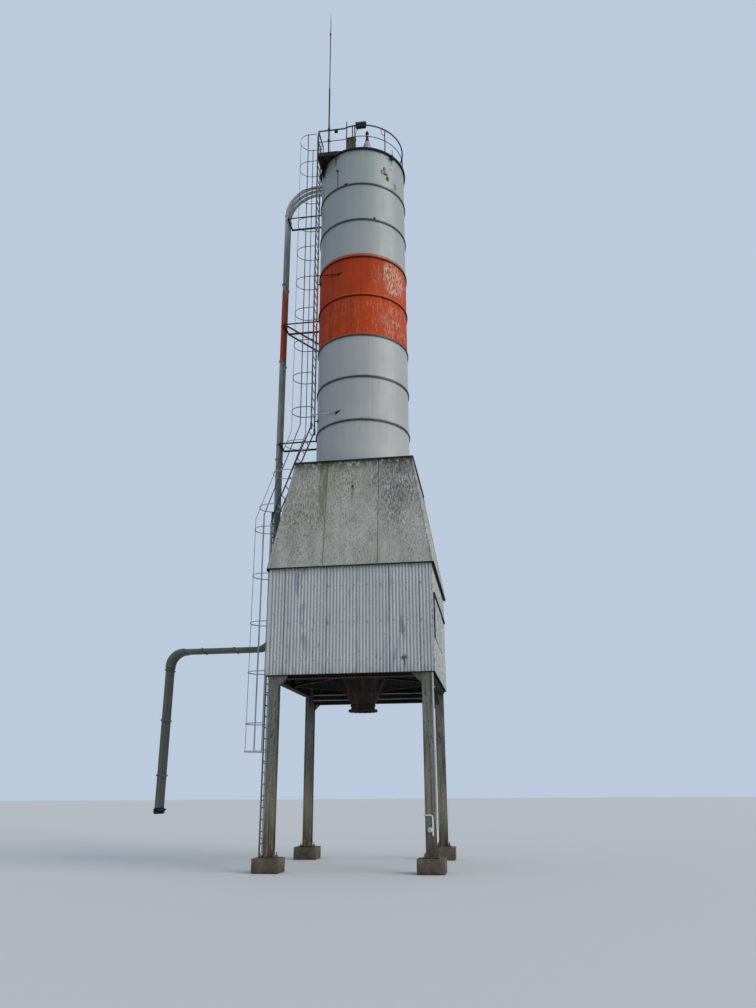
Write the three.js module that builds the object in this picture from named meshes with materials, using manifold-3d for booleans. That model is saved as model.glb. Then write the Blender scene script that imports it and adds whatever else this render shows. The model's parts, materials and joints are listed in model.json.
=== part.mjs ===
// Cement silo: a round plate silo that stands in a clad steel tower on four columns.
// Millimetres, +Z up, the front of the tower faces -Y and the ladder side faces -X.
// Everything is laid out from the silo's upright axis. The whole is then moved so that the origin
// lies on the underside of the front left plinth, under its column.
import * as THREE from 'three';
import { mergeVertices } from 'three/addons/utils/BufferGeometryUtils.js';
import Module from 'manifold-3d';

const wasm = await Module();
wasm.setup();

// Clearance between pieces that bear on each other
const GAP = 0.3;

// Plinths, columns and the frame of the clad box
const PLINTH_SIZE = 700;
const PLINTH_HEIGHT = 350;
const COLUMN_X = 2060;
const COLUMN_SIZE = 260;
const COLUMN_FLANGE = 20;
const COLUMN_WEB = 12;
const BASE_PLATE = 400;
const BASE_PLATE_THICK = 25;
const BOX_WIDTH = 4560;
const BOX_DEPTH = 4660;
const BOX_LOW = 4850;
const BOX_HIGH = 7800;
const WALL_THICK = 40;
const COLUMN_Y = BOX_DEPTH / 2 - WALL_THICK - GAP - COLUMN_SIZE / 2;
const COLUMN_FOOT = PLINTH_HEIGHT + GAP;
const EAVE_LOW = 7560;
const EAVE_HIGH = BOX_HIGH - 20;
const COLUMN_TOP = EAVE_LOW - GAP;
const BEAM_WIDTH = 200;
const FRONT_BEAM = [4750, 5050];
const REAR_BEAM = [4500, 4849];
const SIDE_BEAM = [4750, 5050];
const HAUNCH_REACH = 320;
const HAUNCH_THICK = 20;
const BRACING_BAR = 80;
const BRACING_LEVEL = 4850;

// Hood over the box
const HOOD_TOP = 11200;
const HOOD_TOP_WIDTH = 3500;
const HOOD_OVERHANG = 50;
const HOOD_WALL = 90;
const CAP_WIDTH = 3570;
const CAP_THICK = 30;

// Silo
const SILO_RADIUS = 1500;
const SHELL_THICK = 10;
const FACETS = 36;
const SHELL_LOW = 6500;
const COURSE = 1500;
const ROOF_LEVEL = 23200;
const RING_WIDTH = 40;
const RING_HEIGHT = 60;
const ROOF_RADIUS = 1560;
const ROOF_THICK = 30;
const DECK_THICK = 40;
const DECK_BEAM_HEIGHT = 300;
const DECK_BEAM_X = 1550;
const CONE_RADIUS = 1390;
const DECK_HOLE = CONE_RADIUS + GAP;
const OUTLET_RADIUS = 340;
const CONE_LOW = 4230;
const FLANGE_RADIUS = 420;
const FLANGE_LEVEL = 4100;
const FLANGE_THICK = 40;

// Ladder and its cage, on the silo's left side
const LADDER_Y = -850;
const LADDER_HALF = 230;
const STRINGER_DEEP = 50;
const STRINGER_THICK = 16;
const RUNG = 34;
const RUNG_PITCH = 300;
const LADDER_X_HIGH = -1480;
const LADDER_X_LOW = -2620;
const BEND_HIGH = 12770;
const BEND_LOW = 9840;
const LADDER_TOP = 24400;
const CAGE_HALF = 380;
const CAGE_REACH_LOW = 600;
const CAGE_REACH_HIGH = 700;
const HOOP_HEIGHT = 34;
const HOOP_THICK = 8;
const CAGE_BAR = 30;
const WALL_ARM = 36;
const HOOP_PITCH = 1220;
const LOWER_HOOPS = [2960, 3710, 5140, 6570, 8000, 9460];
const INCLINE_HOOPS = [10170, 11270, 12250];

// Landing and railing on the roof
const LANDING_THICK = 60;
const LANDING_FRONT = -1420;
const LANDING_LEFT = -1410;
const LANDING_RIGHT = -660;
const RAIL = 42;
const RAILING_RADIUS = 1470;
const RAIL_HEIGHTS = [90, 600, 1100];
const TALL_POST_TOP = 24550;

// Fill pipes
const PIPE = 114;
const PIPE_SIDES = 10;
const PIPE_PITCH = 200;
const RISER_X = -2780;
const GOOSENECK_RADIUS = 1100;
const GOOSENECK_LEVEL = 22870;
const RUN_LEVEL = 5950;
const RUN_RADIUS = 450;
const DROP_X = -5950;
const DROP_LOW = 1500;
const COUPLING_LOW = 1330;
const BEND_STEPS = 5;
const BRACKET_LEVELS = [12580, 17070, 21510];
const BRACKET_Y = 330;
const BRACKET_BAR = 50;

const paint = (colour, roughness, metalness) =>
  new THREE.MeshStandardMaterial({ color: colour, roughness, metalness });
const FINISH = {
  concrete: paint(0x8c877c, 0.95, 0),
  column: paint(0x8f9486, 0.6, 0.1),
  frame: paint(0x5a4a42, 0.7, 0.1),
  cladding: paint(0xb4bcc2, 0.5, 0.3),
  hood: paint(0x9c9a90, 0.8, 0),
  cap: paint(0x3b3c3a, 0.7, 0),
  shell: paint(0xa3a8aa, 0.45, 0.2),
  orange: paint(0xb5482a, 0.5, 0.1),
  rust: paint(0x6e4a3a, 0.85, 0.1),
  steel: paint(0x5b6063, 0.55, 0.4),
  pale: paint(0xb9bbb8, 0.5, 0.2),
  pipe: paint(0x8b9092, 0.5, 0.3),
  fitting: paint(0xa08f5c, 0.6, 0.2),
  dark: paint(0x2d2f31, 0.6, 0.2),
};

const silo = new THREE.Group();

// A closed body with shared corners.
function welded(geometry) {
  geometry.deleteAttribute('normal');
  geometry.deleteAttribute('uv');
  return mergeVertices(geometry, 1e-3);
}

function solidOf(geometry) {
  const merged = welded(geometry);
  return new wasm.Manifold(new wasm.Mesh({
    numProp: 3,
    vertProperties: new Float32Array(merged.attributes.position.array),
    triVerts: new Uint32Array(merged.index.array),
  }));
}

function geometryOf(solid) {
  const mesh = solid.getMesh();
  const geometry = new THREE.BufferGeometry();
  geometry.setAttribute('position', new THREE.BufferAttribute(mesh.vertProperties, 3));
  geometry.setIndex(new THREE.BufferAttribute(mesh.triVerts, 1));
  return geometry;
}

function joined(geometries) {
  return geometryOf(geometries.map(solidOf).reduce((whole, piece) => whole.add(piece)));
}

function cutFrom(geometry, tools) {
  return geometryOf(tools.map(solidOf).reduce((rest, tool) => rest.subtract(tool), solidOf(geometry)));
}

function add(name, geometry, material) {
  const mesh = new THREE.Mesh(geometry, material.clone());
  mesh.name = name;
  silo.add(mesh);
}

// A box between two opposite corners.
function block(low, high) {
  const size = high.map((value, axis) => value - low[axis]);
  const middle = high.map((value, axis) => (value + low[axis]) / 2);
  return new THREE.BoxGeometry(...size).translate(...middle);
}

// A square bar from one point to another.
function bar(from, to, size) {
  const start = new THREE.Vector3(...from);
  const along = new THREE.Vector3(...to).sub(start);
  const geometry = new THREE.BoxGeometry(size, size, along.length());
  const aim = new THREE.Object3D();
  aim.up.set(0, 0, 1);
  aim.lookAt(along);
  geometry.applyQuaternion(aim.quaternion);
  const middle = start.addScaledVector(along, 0.5);
  return geometry.translate(middle.x, middle.y, middle.z);
}

// A round bar standing upright.
function post(x, y, low, high, radius, sides = 8) {
  return new THREE.CylinderGeometry(radius, radius, high - low, sides).rotateX(Math.PI / 2)
    .translate(x, y, (high + low) / 2);
}

// A flat outline in X and Y, raised from one level to another.
function raised(points, low, high) {
  const outline = new THREE.Shape(points.map(([x, y]) => new THREE.Vector2(x, y)));
  return new THREE.ExtrudeGeometry(outline, { depth: high - low, bevelEnabled: false })
    .translate(0, 0, low);
}

// A plate seen from the front, given as X and Z, with its thickness centred on one Y.
function frontPlate(points, y, thick) {
  return raised(points, -thick / 2, thick / 2).rotateX(Math.PI / 2).translate(0, y, 0);
}

// A plate seen from the right, given as Y and Z, with its thickness centred on one X.
function sidePlate(points, x, thick) {
  return frontPlate(points, 0, thick).rotateZ(Math.PI / 2).translate(x, 0, 0);
}

// A round body about an upright axis, from radius and height pairs that go up the outside.
function turned(profile, facets = FACETS) {
  const points = profile.map(([radius, height]) => new THREE.Vector2(radius, height));
  return new THREE.LatheGeometry(points, facets).rotateX(Math.PI / 2);
}

function drum(radius, low, high, facets = FACETS) {
  return turned([[0, low], [radius, low], [radius, high], [0, high]], facets);
}

// The space that the silo fills, for pieces that end against its shell.
const siloSpace = () => drum(SILO_RADIUS + GAP, SHELL_LOW - 100, ROOF_LEVEL + 100);

// Plinths and columns, with the haunch plates that are welded to them under the floor beams
function iOutline(width, height, flange, web) {
  const w = width / 2;
  const h = height / 2;
  const t = web / 2;
  return [
    [-w, -h], [w, -h], [w, -h + flange], [t, -h + flange], [t, h - flange], [w, h - flange],
    [w, h], [-w, h], [-w, h - flange], [-t, h - flange], [-t, -h + flange], [-w, -h + flange],
  ];
}

// A triangle under a beam, from the column outwards, as distance and height.
function haunchOutline(face, top, direction) {
  const points = [[face, top], [face - HAUNCH_REACH, top], [face, top - HAUNCH_REACH]];
  const turned = points.map(([distance, z]) => [direction * distance, z]);
  return direction > 0 ? turned : turned.reverse();
}

function makeFoundations() {
  const half = PLINTH_SIZE / 2;
  const plate = BASE_PLATE / 2;
  const inside = 1;
  for (const [end, directionY] of [['front', -1], ['rear', 1]]) {
    for (const [side, directionX] of [['left', -1], ['right', 1]]) {
      const x = directionX * COLUMN_X;
      const y = directionY * COLUMN_Y;
      const beamLow = (end === 'front' ? FRONT_BEAM : REAR_BEAM)[0] - GAP;
      const column = joined([
        raised(iOutline(COLUMN_SIZE, COLUMN_SIZE, COLUMN_FLANGE, COLUMN_WEB), COLUMN_FOOT, COLUMN_TOP)
          .translate(x, y, 0),
        block([x - plate, y - plate, COLUMN_FOOT], [x + plate, y + plate, COLUMN_FOOT + BASE_PLATE_THICK]),
        frontPlate(haunchOutline(WEB_FACE + inside, beamLow, directionX), y, HAUNCH_THICK),
        sidePlate(haunchOutline(FLANGE_FACE + inside, SIDE_BEAM[0] - GAP, directionY), x, HAUNCH_THICK),
      ]);
      add(`column_${end}_${side}`, column, FINISH.column);
      add(`plinth_${end}_${side}`,
        welded(block([x - half, y - half, 0], [x + half, y + half, PLINTH_HEIGHT])), FINISH.concrete);
    }
  }
}

// Beams between the columns
const WEB_FACE = COLUMN_X - COLUMN_WEB / 2 - GAP;
const FLANGE_FACE = COLUMN_Y - COLUMN_SIZE / 2 - GAP;

function beamAcross(y, [low, high]) {
  const half = BEAM_WIDTH / 2;
  return block([-WEB_FACE, y - half, low], [WEB_FACE, y + half, high]);
}

function beamDeep(side, [low, high]) {
  const outer = side * (BOX_WIDTH / 2 - WALL_THICK - GAP);
  const inner = outer - side * BEAM_WIDTH;
  return block([Math.min(outer, inner), -FLANGE_FACE, low], [Math.max(outer, inner), FLANGE_FACE, high]);
}

function makeFrame() {
  add('floor_beam_front', welded(beamAcross(-COLUMN_Y, FRONT_BEAM)), FINISH.frame);
  add('floor_beam_rear', welded(beamAcross(COLUMN_Y, REAR_BEAM)), FINISH.frame);
  add('floor_beam_left', welded(beamDeep(-1, SIDE_BEAM)), FINISH.frame);
  add('floor_beam_right', welded(beamDeep(1, SIDE_BEAM)), FINISH.frame);
  const outerX = BOX_WIDTH / 2 - WALL_THICK - GAP;
  const outerY = BOX_DEPTH / 2 - WALL_THICK - GAP;
  const ring = block([-outerX, -outerY, EAVE_LOW], [outerX, outerY, EAVE_HIGH]);
  const inside = block([-outerX + BEAM_WIDTH, -outerY + BEAM_WIDTH, EAVE_LOW - 1],
    [outerX - BEAM_WIDTH, outerY - BEAM_WIDTH, EAVE_HIGH + 1]);
  add('eave_frame', cutFrom(ring, [inside]), FINISH.frame);
}

// A diamond of bars between the middles of the four floor beams.
function makeFloorBracing() {
  const x = BOX_WIDTH / 2 - WALL_THICK - BEAM_WIDTH;
  const y = COLUMN_Y - BEAM_WIDTH / 2;
  const z = BRACING_LEVEL;
  const half = BRACING_BAR / 2;
  const proud = 60;
  const outline = (offset) =>
    [[x + offset, 0], [0, y + offset], [-x - offset, 0], [0, -y - offset]];
  const outer = raised(outline(proud), z - half, z + half);
  const inner = raised(outline(proud - BRACING_BAR * Math.SQRT2), z - half - 1, z + half + 1);
  const between = block([-x + 2 * GAP, -y + GAP, z - half - 5], [x - 2 * GAP, y - GAP, z + half + 5]);
  const diamond = solidOf(cutFrom(outer, [inner]));
  add('floor_bracing', geometryOf(diamond.intersect(solidOf(between))), FINISH.frame);
}

// Cladding walls
function makeCladding() {
  const x = BOX_WIDTH / 2;
  const y = BOX_DEPTH / 2;
  const inner = y - WALL_THICK - GAP;
  add('front_cladding', welded(block([-x, -y, BOX_LOW], [x, -y + WALL_THICK, BOX_HIGH])),
    FINISH.cladding);
  add('rear_cladding', welded(block([-x, y - WALL_THICK, BOX_LOW], [x, y, BOX_HIGH])),
    FINISH.cladding);
  add('left_cladding', welded(block([-x, -inner, BOX_LOW], [-x + WALL_THICK, inner, BOX_HIGH])),
    FINISH.cladding);
  add('right_cladding', welded(block([x - WALL_THICK, -inner, BOX_LOW], [x, inner, BOX_HIGH])),
    FINISH.cladding);
}

// Hood: four leaning slabs, mitred at the corners, and the cap that closes them round the silo
function squareFrustum(lowWidth, lowDepth, highWidth, low, high) {
  const middle = (low + high) / 2;
  const geometry = new THREE.BoxGeometry(1, 1, high - low).translate(0, 0, middle);
  const position = geometry.attributes.position;
  for (let i = 0; i < position.count; i += 1) {
    const upper = position.getZ(i) > middle;
    position.setX(i, position.getX(i) * (upper ? highWidth : lowWidth));
    position.setY(i, position.getY(i) * (upper ? highWidth : lowDepth));
  }
  return geometry;
}

// The part of the hood between its two front corners, less a joint, turned to each side.
function hoodWedge(quarterTurns) {
  const far = 4000;
  const joint = GAP;
  return raised([[0, -joint], [-far, -far - joint], [far, -far - joint]], BOX_HIGH - 10, HOOD_TOP + 10)
    .rotateZ((quarterTurns * Math.PI) / 2);
}

function makeHood() {
  const low = BOX_HIGH + GAP;
  const width = BOX_WIDTH + 2 * HOOD_OVERHANG;
  const depth = BOX_DEPTH + 2 * HOOD_OVERHANG;
  const wall = 2 * HOOD_WALL;
  const outer = squareFrustum(width, depth, HOOD_TOP_WIDTH, low, HOOD_TOP);
  const inner = squareFrustum(width - wall, depth - wall, HOOD_TOP_WIDTH - wall, low, HOOD_TOP);
  const ends = 4;
  const lowPlug = squareFrustum(width - wall, depth - wall, width - wall, low - ends, low + 0.01);
  const highPlug = block([-HOOD_TOP_WIDTH / 2 + HOOD_WALL, -HOOD_TOP_WIDTH / 2 + HOOD_WALL, HOOD_TOP - 0.01],
    [HOOD_TOP_WIDTH / 2 - HOOD_WALL, HOOD_TOP_WIDTH / 2 - HOOD_WALL, HOOD_TOP + ends]);
  const hood = cutFrom(outer, [inner, lowPlug, highPlug]);
  ['hood_front', 'hood_right', 'hood_rear', 'hood_left'].forEach((name, turns) => {
    const side = solidOf(hood.clone()).intersect(solidOf(hoodWedge(turns)));
    add(name, geometryOf(side), FINISH.hood);
  });
  const half = CAP_WIDTH / 2;
  const plate = block([-half, -half, HOOD_TOP + GAP], [half, half, HOOD_TOP + CAP_THICK]);
  add('hood_cap', cutFrom(plate, [siloSpace()]), FINISH.cap);
}

// Deck that carries the silo, on beams between the columns
function makeDeck() {
  const top = SHELL_LOW - GAP;
  const low = top - DECK_THICK;
  const plate = block([-WEB_FACE, -FLANGE_FACE, low], [WEB_FACE, FLANGE_FACE, top]);
  add('deck_plate', cutFrom(plate, [drum(DECK_HOLE, low - 10, top + 10)]), FINISH.frame);
  const level = [low - GAP - DECK_BEAM_HEIGHT, low - GAP];
  const half = BEAM_WIDTH / 2;
  const end = COLUMN_Y - half + 1;
  const deep = (x) => block([x - half, -end, level[0]], [x + half, end, level[1]]);
  add('deck_beams', joined([
    beamAcross(-COLUMN_Y, level), beamAcross(COLUMN_Y, level), deep(-DECK_BEAM_X), deep(DECK_BEAM_X),
  ]), FINISH.frame);
}

// Silo shell, cone, outlet and roof. A length of shell carries a ring at the top of each course.
function shellLength(low, ringTops, high) {
  const inner = SILO_RADIUS - SHELL_THICK;
  const ring = SILO_RADIUS + RING_WIDTH;
  const rings = ringTops.flatMap((top) => [
    [SILO_RADIUS, top - RING_HEIGHT], [ring, top - RING_HEIGHT], [ring, top],
    ...(top < high ? [[SILO_RADIUS, top]] : []),
  ]);
  const end = ringTops.includes(high) ? [] : [[SILO_RADIUS, high]];
  return welded(turned([
    [inner, low], [SILO_RADIUS, low], ...rings, ...end, [inner, high], [inner, low],
  ]));
}

function makeShell() {
  const level = (courses) => HOOD_TOP + courses * COURSE;
  add('shell_skirt', shellLength(SHELL_LOW, [], HOOD_TOP), FINISH.shell);
  add('shell_lower', shellLength(HOOD_TOP + GAP, [level(1), level(2), level(3)], level(3)), FINISH.shell);
  add('shell_band', shellLength(level(3) + GAP, [level(4), level(5)], level(5)), FINISH.orange);
  add('shell_upper', shellLength(level(5) + GAP, [level(6), level(7)], ROOF_LEVEL), FINISH.shell);
  add('roof_plate', welded(drum(ROOF_RADIUS, ROOF_LEVEL + GAP, ROOF_LEVEL + ROOF_THICK)), FINISH.shell);
}

// The cone hangs in the deck's hole, and a flanged neck closes it below.
function makeCone() {
  const wall = SHELL_THICK;
  const collar = SHELL_LOW - GAP - DECK_THICK;
  const foot = CONE_LOW + GAP;
  add('discharge_cone', welded(turned([
    [OUTLET_RADIUS - wall, foot], [OUTLET_RADIUS, foot], [CONE_RADIUS, collar],
    [CONE_RADIUS, SHELL_LOW - GAP], [CONE_RADIUS - wall, SHELL_LOW - GAP],
    [CONE_RADIUS - wall, collar], [OUTLET_RADIUS - wall, foot],
  ])), FINISH.rust);
  const low = FLANGE_LEVEL - FLANGE_THICK;
  const bore = OUTLET_RADIUS - wall;
  add('outlet_neck', welded(turned([
    [bore, low], [FLANGE_RADIUS, low], [FLANGE_RADIUS, FLANGE_LEVEL],
    [OUTLET_RADIUS, FLANGE_LEVEL], [OUTLET_RADIUS, CONE_LOW], [bore, CONE_LOW], [bore, low],
  ])), FINISH.rust);
}

// Ladder: stringers, rungs and hooped cage follow one line down the left side
function leanShare(z) {
  return Math.min(1, Math.max(0, (z - BEND_LOW) / (BEND_HIGH - BEND_LOW)));
}

function ladderX(z) {
  return LADDER_X_LOW + leanShare(z) * (LADDER_X_HIGH - LADDER_X_LOW);
}

// How far the cage stands out to the left of the ladder's line.
function cageReach(z) {
  return CAGE_REACH_LOW + leanShare(z) * (CAGE_REACH_HIGH - CAGE_REACH_LOW);
}

// A slanting or upright strip between two levels, off the ladder's line by what offset gives there.
function ladderStrip(low, high, offset, width, y, thick) {
  const x0 = ladderX(low) + offset(low);
  const x1 = ladderX(high) + offset(high);
  const half = width / 2;
  return frontPlate([[x0 - half, low], [x0 + half, low], [x1 + half, high], [x1 - half, high]], y, thick);
}

function ladder(low, high) {
  const pieces = [-LADDER_HALF, LADDER_HALF].map((side) =>
    ladderStrip(low, high, () => 0, STRINGER_DEEP, LADDER_Y + side, STRINGER_THICK));
  const half = RUNG / 2;
  for (let z = Math.ceil((low + 80) / RUNG_PITCH) * RUNG_PITCH; z < high - 80; z += RUNG_PITCH) {
    const x = ladderX(z);
    pieces.push(block([x - half, LADDER_Y - LADDER_HALF, z - half],
      [x + half, LADDER_Y + LADDER_HALF, z + half]));
  }
  return joined(pieces);
}

// Half of a hoop in plan, from the near stringer out to the far left.
function hoopCurve(z, inset) {
  const half = CAGE_HALF - inset;
  const reach = cageReach(z) - inset;
  const straight = reach - half;
  const steps = 6;
  const points = [[0, half]];
  for (let i = 0; i <= steps; i += 1) {
    const angle = (Math.PI * i) / steps;
    points.push([-straight - half * Math.sin(angle), half * Math.cos(angle)]);
  }
  points.push([0, -half]);
  return points;
}

function hoop(z) {
  const outline = [...hoopCurve(z, 0), ...hoopCurve(z, HOOP_THICK).reverse()];
  const x = ladderX(z);
  const low = z - HOOP_HEIGHT / 2;
  const half = CAGE_HALF;
  const stringer = LADDER_HALF + STRINGER_THICK / 2 + GAP;
  const returns = [-1, 1].map((side) => {
    const ends = [side * stringer, side * half].sort((a, b) => a - b);
    return block([x - HOOP_THICK, LADDER_Y + ends[0], low], [x, LADDER_Y + ends[1], low + HOOP_HEIGHT]);
  });
  const band = raised(outline.map(([dx, dy]) => [x + dx, LADDER_Y + dy]), low, low + HOOP_HEIGHT);
  return [band, ...returns];
}

// Hoops with a bar down each side and one down the outside.
function cage(hoops, low, high) {
  const inside = HOOP_THICK * 0.75;
  const side = CAGE_HALF - inside;
  const bars = [-side, side].map((dy) =>
    ladderStrip(low, high, (z) => CAGE_HALF - cageReach(z), CAGE_BAR, LADDER_Y + dy, HOOP_THICK * 2));
  const outer = ladderStrip(low, high, (z) => HOOP_THICK - cageReach(z), HOOP_THICK * 2, LADDER_Y, CAGE_BAR);
  return joined([...hoops.flatMap(hoop), ...bars, outer]);
}

// A strip standing on edge between two places in plan, from one level up.
function levelStrip([x0, y0], [x1, y1], thick, low, high) {
  const length = Math.hypot(x1 - x0, y1 - y0);
  const dx = (-(y1 - y0) / length) * (thick / 2);
  const dy = ((x1 - x0) / length) * (thick / 2);
  return raised([[x0 - dx, y0 - dy], [x1 - dx, y1 - dy], [x1 + dx, y1 + dy], [x0 + dx, y0 + dy]], low, high);
}

// Flat arms from both stringers to the face that the ladder is held off
function ladderArms(x0, nearEnd, farEnd, levels) {
  const side = LADDER_HALF + STRINGER_THICK - 1;
  return levels.flatMap((z) => [
    levelStrip([x0, LADDER_Y - side], nearEnd, STRINGER_THICK, z, z + 70),
    levelStrip([x0, LADDER_Y + side], farEnd, STRINGER_THICK, z, z + 70),
  ]);
}

function makeLadders() {
  const boxFace = -BOX_WIDTH / 2 - GAP;
  const side = LADDER_HALF + STRINGER_THICK - 1;
  const lowerArms = ladderArms(LADDER_X_LOW - STRINGER_DEEP / 2, [boxFace, LADDER_Y - side],
    [boxFace, LADDER_Y + side], [5200, 7400]);
  const upperArms = [[13150, 13050], [18350, 18145]].flatMap(([level, shellLevel]) => [
    bar([LADDER_X_HIGH, LADDER_Y - side, level], [-600, -1365, shellLevel], WALL_ARM),
    bar([LADDER_X_HIGH, LADDER_Y + side, level], [-1200, LADDER_Y + side, level], WALL_ARM),
  ]);
  add('ladder_lower', joined([ladder(0, BEND_LOW - GAP), ...lowerArms]), FINISH.steel);
  add('ladder_incline', ladder(BEND_LOW, BEND_HIGH - GAP), FINISH.steel);
  add('ladder_upper', cutFrom(joined([ladder(BEND_HIGH, LADDER_TOP), ...upperArms]), [siloSpace()]),
    FINISH.steel);
  const upperHoops = [];
  for (let z = LADDER_TOP - HOOP_HEIGHT; z > BEND_HIGH + HOOP_HEIGHT; z -= HOOP_PITCH) upperHoops.push(z);
  add('cage_lower', cage(LOWER_HOOPS, LOWER_HOOPS[0], BEND_LOW - GAP), FINISH.pale);
  add('cage_incline', cage(INCLINE_HOOPS, BEND_LOW, BEND_HIGH - GAP), FINISH.steel);
  add('cage_upper', cage(upperHoops, BEND_HIGH, LADDER_TOP), FINISH.steel);
}

// Roof landing beside the ladder head, on two gussets
function makeLanding() {
  const high = ROOF_LEVEL;
  const low = high - LANDING_THICK;
  const plate = raised([
    [LANDING_LEFT, LANDING_FRONT], [LANDING_RIGHT, LANDING_FRONT], [LANDING_RIGHT, -1200],
    [-1250, -500], [LANDING_LEFT, -500],
  ], low, high);
  const gusset = (x) => sidePlate([
    [LANDING_FRONT + 20, low + 1], [LANDING_FRONT + 20, low - 60], [-700, low - 430], [-700, low + 1],
  ], x, 12);
  const roof = drum(ROOF_RADIUS + GAP, ROOF_LEVEL, ROOF_LEVEL + 50);
  add('landing', cutFrom(joined([plate, gusset(-1320), gusset(-760)]), [siloSpace(), roof]), FINISH.dark);
}

// Railing: round bars on an arc or a line, with posts on the roof
class ArcPath extends THREE.Curve {
  constructor(radius, start, end, level) {
    super();
    Object.assign(this, { radius, start, end, level });
  }

  getPoint(t) {
    const angle = this.start + t * (this.end - this.start);
    return new THREE.Vector3(this.radius * Math.cos(angle), this.radius * Math.sin(angle), this.level);
  }

  getUtoTmapping(u) {
    return u;
  }
}

function roundOutline(radius, sides) {
  return new THREE.Shape(Array.from({ length: sides }, (_, i) => {
    const angle = ((i + 0.5) * 2 * Math.PI) / sides;
    return new THREE.Vector2(radius * Math.cos(angle), radius * Math.sin(angle));
  }));
}

function sweep(path, radius, sides, steps) {
  return new THREE.ExtrudeGeometry(roundOutline(radius, sides), { extrudePath: path, steps });
}

const RAILING_FOOT = ROOF_LEVEL + ROOF_THICK + GAP;
const RAILING_TOP = ROOF_LEVEL + Math.max(...RAIL_HEIGHTS);

const FRONT_RAILING = [-105.5, 44];

function roundRail(from, to, height, radius) {
  const radians = THREE.MathUtils.degToRad;
  const steps = Math.round(Math.abs(to - from) / 12);
  return sweep(new ArcPath(RAILING_RADIUS, radians(from), radians(to), ROOF_LEVEL + height), radius, 6, steps);
}

function railingPart(from, to, posts) {
  const radians = THREE.MathUtils.degToRad;
  const rails = RAIL_HEIGHTS.map((height) => roundRail(from, to, height, RAIL / 2));
  const uprights = posts.map(([degrees, top]) => post(RAILING_RADIUS * Math.cos(radians(degrees)),
    RAILING_RADIUS * Math.sin(radians(degrees)), RAILING_FOOT, top, RAIL / 2, 6));
  return joined([...rails, ...uprights]);
}

function makeRailing() {
  const level = (degrees) => [degrees, RAILING_TOP];
  add('railing_front', railingPart(...FRONT_RAILING,
    [[-104, TALL_POST_TOP], ...[-95.3, -92, -48.5, 0, 41].map(level)]), FINISH.steel);
  add('railing_rear', railingPart(45.2, 194, [48, 78, 105, 132, 160, 191].map(level)), FINISH.steel);
  const y = LANDING_FRONT + 30;
  const left = LANDING_LEFT + 25;
  const right = RAILING_RADIUS * Math.cos(THREE.MathUtils.degToRad(FRONT_RAILING[0])) - 25;
  const half = RAIL / 2;
  const rails = RAIL_HEIGHTS.map((height) => {
    const z = ROOF_LEVEL + height;
    return block([left - half, y - half, z - half], [right, y + half, z + half]);
  });
  add('railing_landing', joined([...rails, post(left, y, ROOF_LEVEL + GAP, RAILING_TOP, RAIL / 2, 6)]),
    FINISH.steel);
}

// Lightning rod, clamped to the landing's railing
function makeLightningRod() {
  const x = -1000;
  const y = LANDING_FRONT + 30 - RAIL / 2 - GAP - 26;
  const foot = ROOF_LEVEL + 60;
  const rod = turned([
    [0, foot], [26, foot], [26, 26200], [17, 26230], [17, 28840], [45, 28880], [45, 28940],
    [14, 28980], [8, 29980], [0, 30000],
  ], 10);
  add('lightning_rod', welded(rod.translate(x, y, 0)), FINISH.dark);
}

// Fittings along the front of the roof, and the lamp box that hangs outside the top rail
function makeRoofFittings() {
  const foot = ROOF_LEVEL + ROOF_THICK + GAP;
  add('vent_cone', welded(turned([
    [0, 0], [165, 0], [165, 240], [95, 470], [62, 620], [50, 650], [50, 850], [62, 870],
    [56, 930], [18, 1030], [0, 1030],
  ], 16).translate(350, -1200, foot)), FINISH.fitting);
  add('junction_box', joined([
    block([-395, -1240, foot], [-75, -1090, foot + 760]),
    block([-410, -1255, foot + 755], [-60, -1075, foot + 785]),
  ]), FINISH.fitting);
  const back = -RAILING_RADIUS - 8;
  const topRail = roundRail(...FRONT_RAILING, Math.max(...RAIL_HEIGHTS), RAIL / 2 + GAP);
  const lamp = joined([
    block([0, back - 110, RAILING_TOP - 200], [360, back, RAILING_TOP + 5]),
    block([-12, back - 128, RAILING_TOP], [372, back, RAILING_TOP + 14]),
  ]);
  add('lamp_box', cutFrom(lamp, [topRail]), FINISH.dark);
}

// Fill pipes: three run side by side, each in its own upright plane
class PipeRoute extends THREE.Curve {
  constructor(corners, y) {
    super();
    Object.assign(this, { corners, y });
  }

  getPoint(t) {
    const scaled = Math.min(Math.max(t, 0), 1) * (this.corners.length - 1);
    const index = Math.min(Math.floor(scaled), this.corners.length - 2);
    const part = scaled - index;
    const [x0, z0] = this.corners[index];
    const [x1, z1] = this.corners[index + 1];
    return new THREE.Vector3(x0 + part * (x1 - x0), this.y, z0 + part * (z1 - z0));
  }

  // The direction at a corner lies between those of the two stretches that meet there.
  getTangent(t) {
    const step = 0.25 / (this.corners.length - 1);
    return this.getPoint(Math.min(1, t + step)).sub(this.getPoint(Math.max(0, t - step))).normalize();
  }

  getUtoTmapping(u) {
    return u;
  }
}

function bend(centre, radius, from, to) {
  return Array.from({ length: BEND_STEPS + 1 }, (_, i) => {
    const angle = THREE.MathUtils.degToRad(from + (i / BEND_STEPS) * (to - from));
    return [centre[0] + radius * Math.cos(angle), centre[1] + radius * Math.sin(angle)];
  });
}

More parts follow.
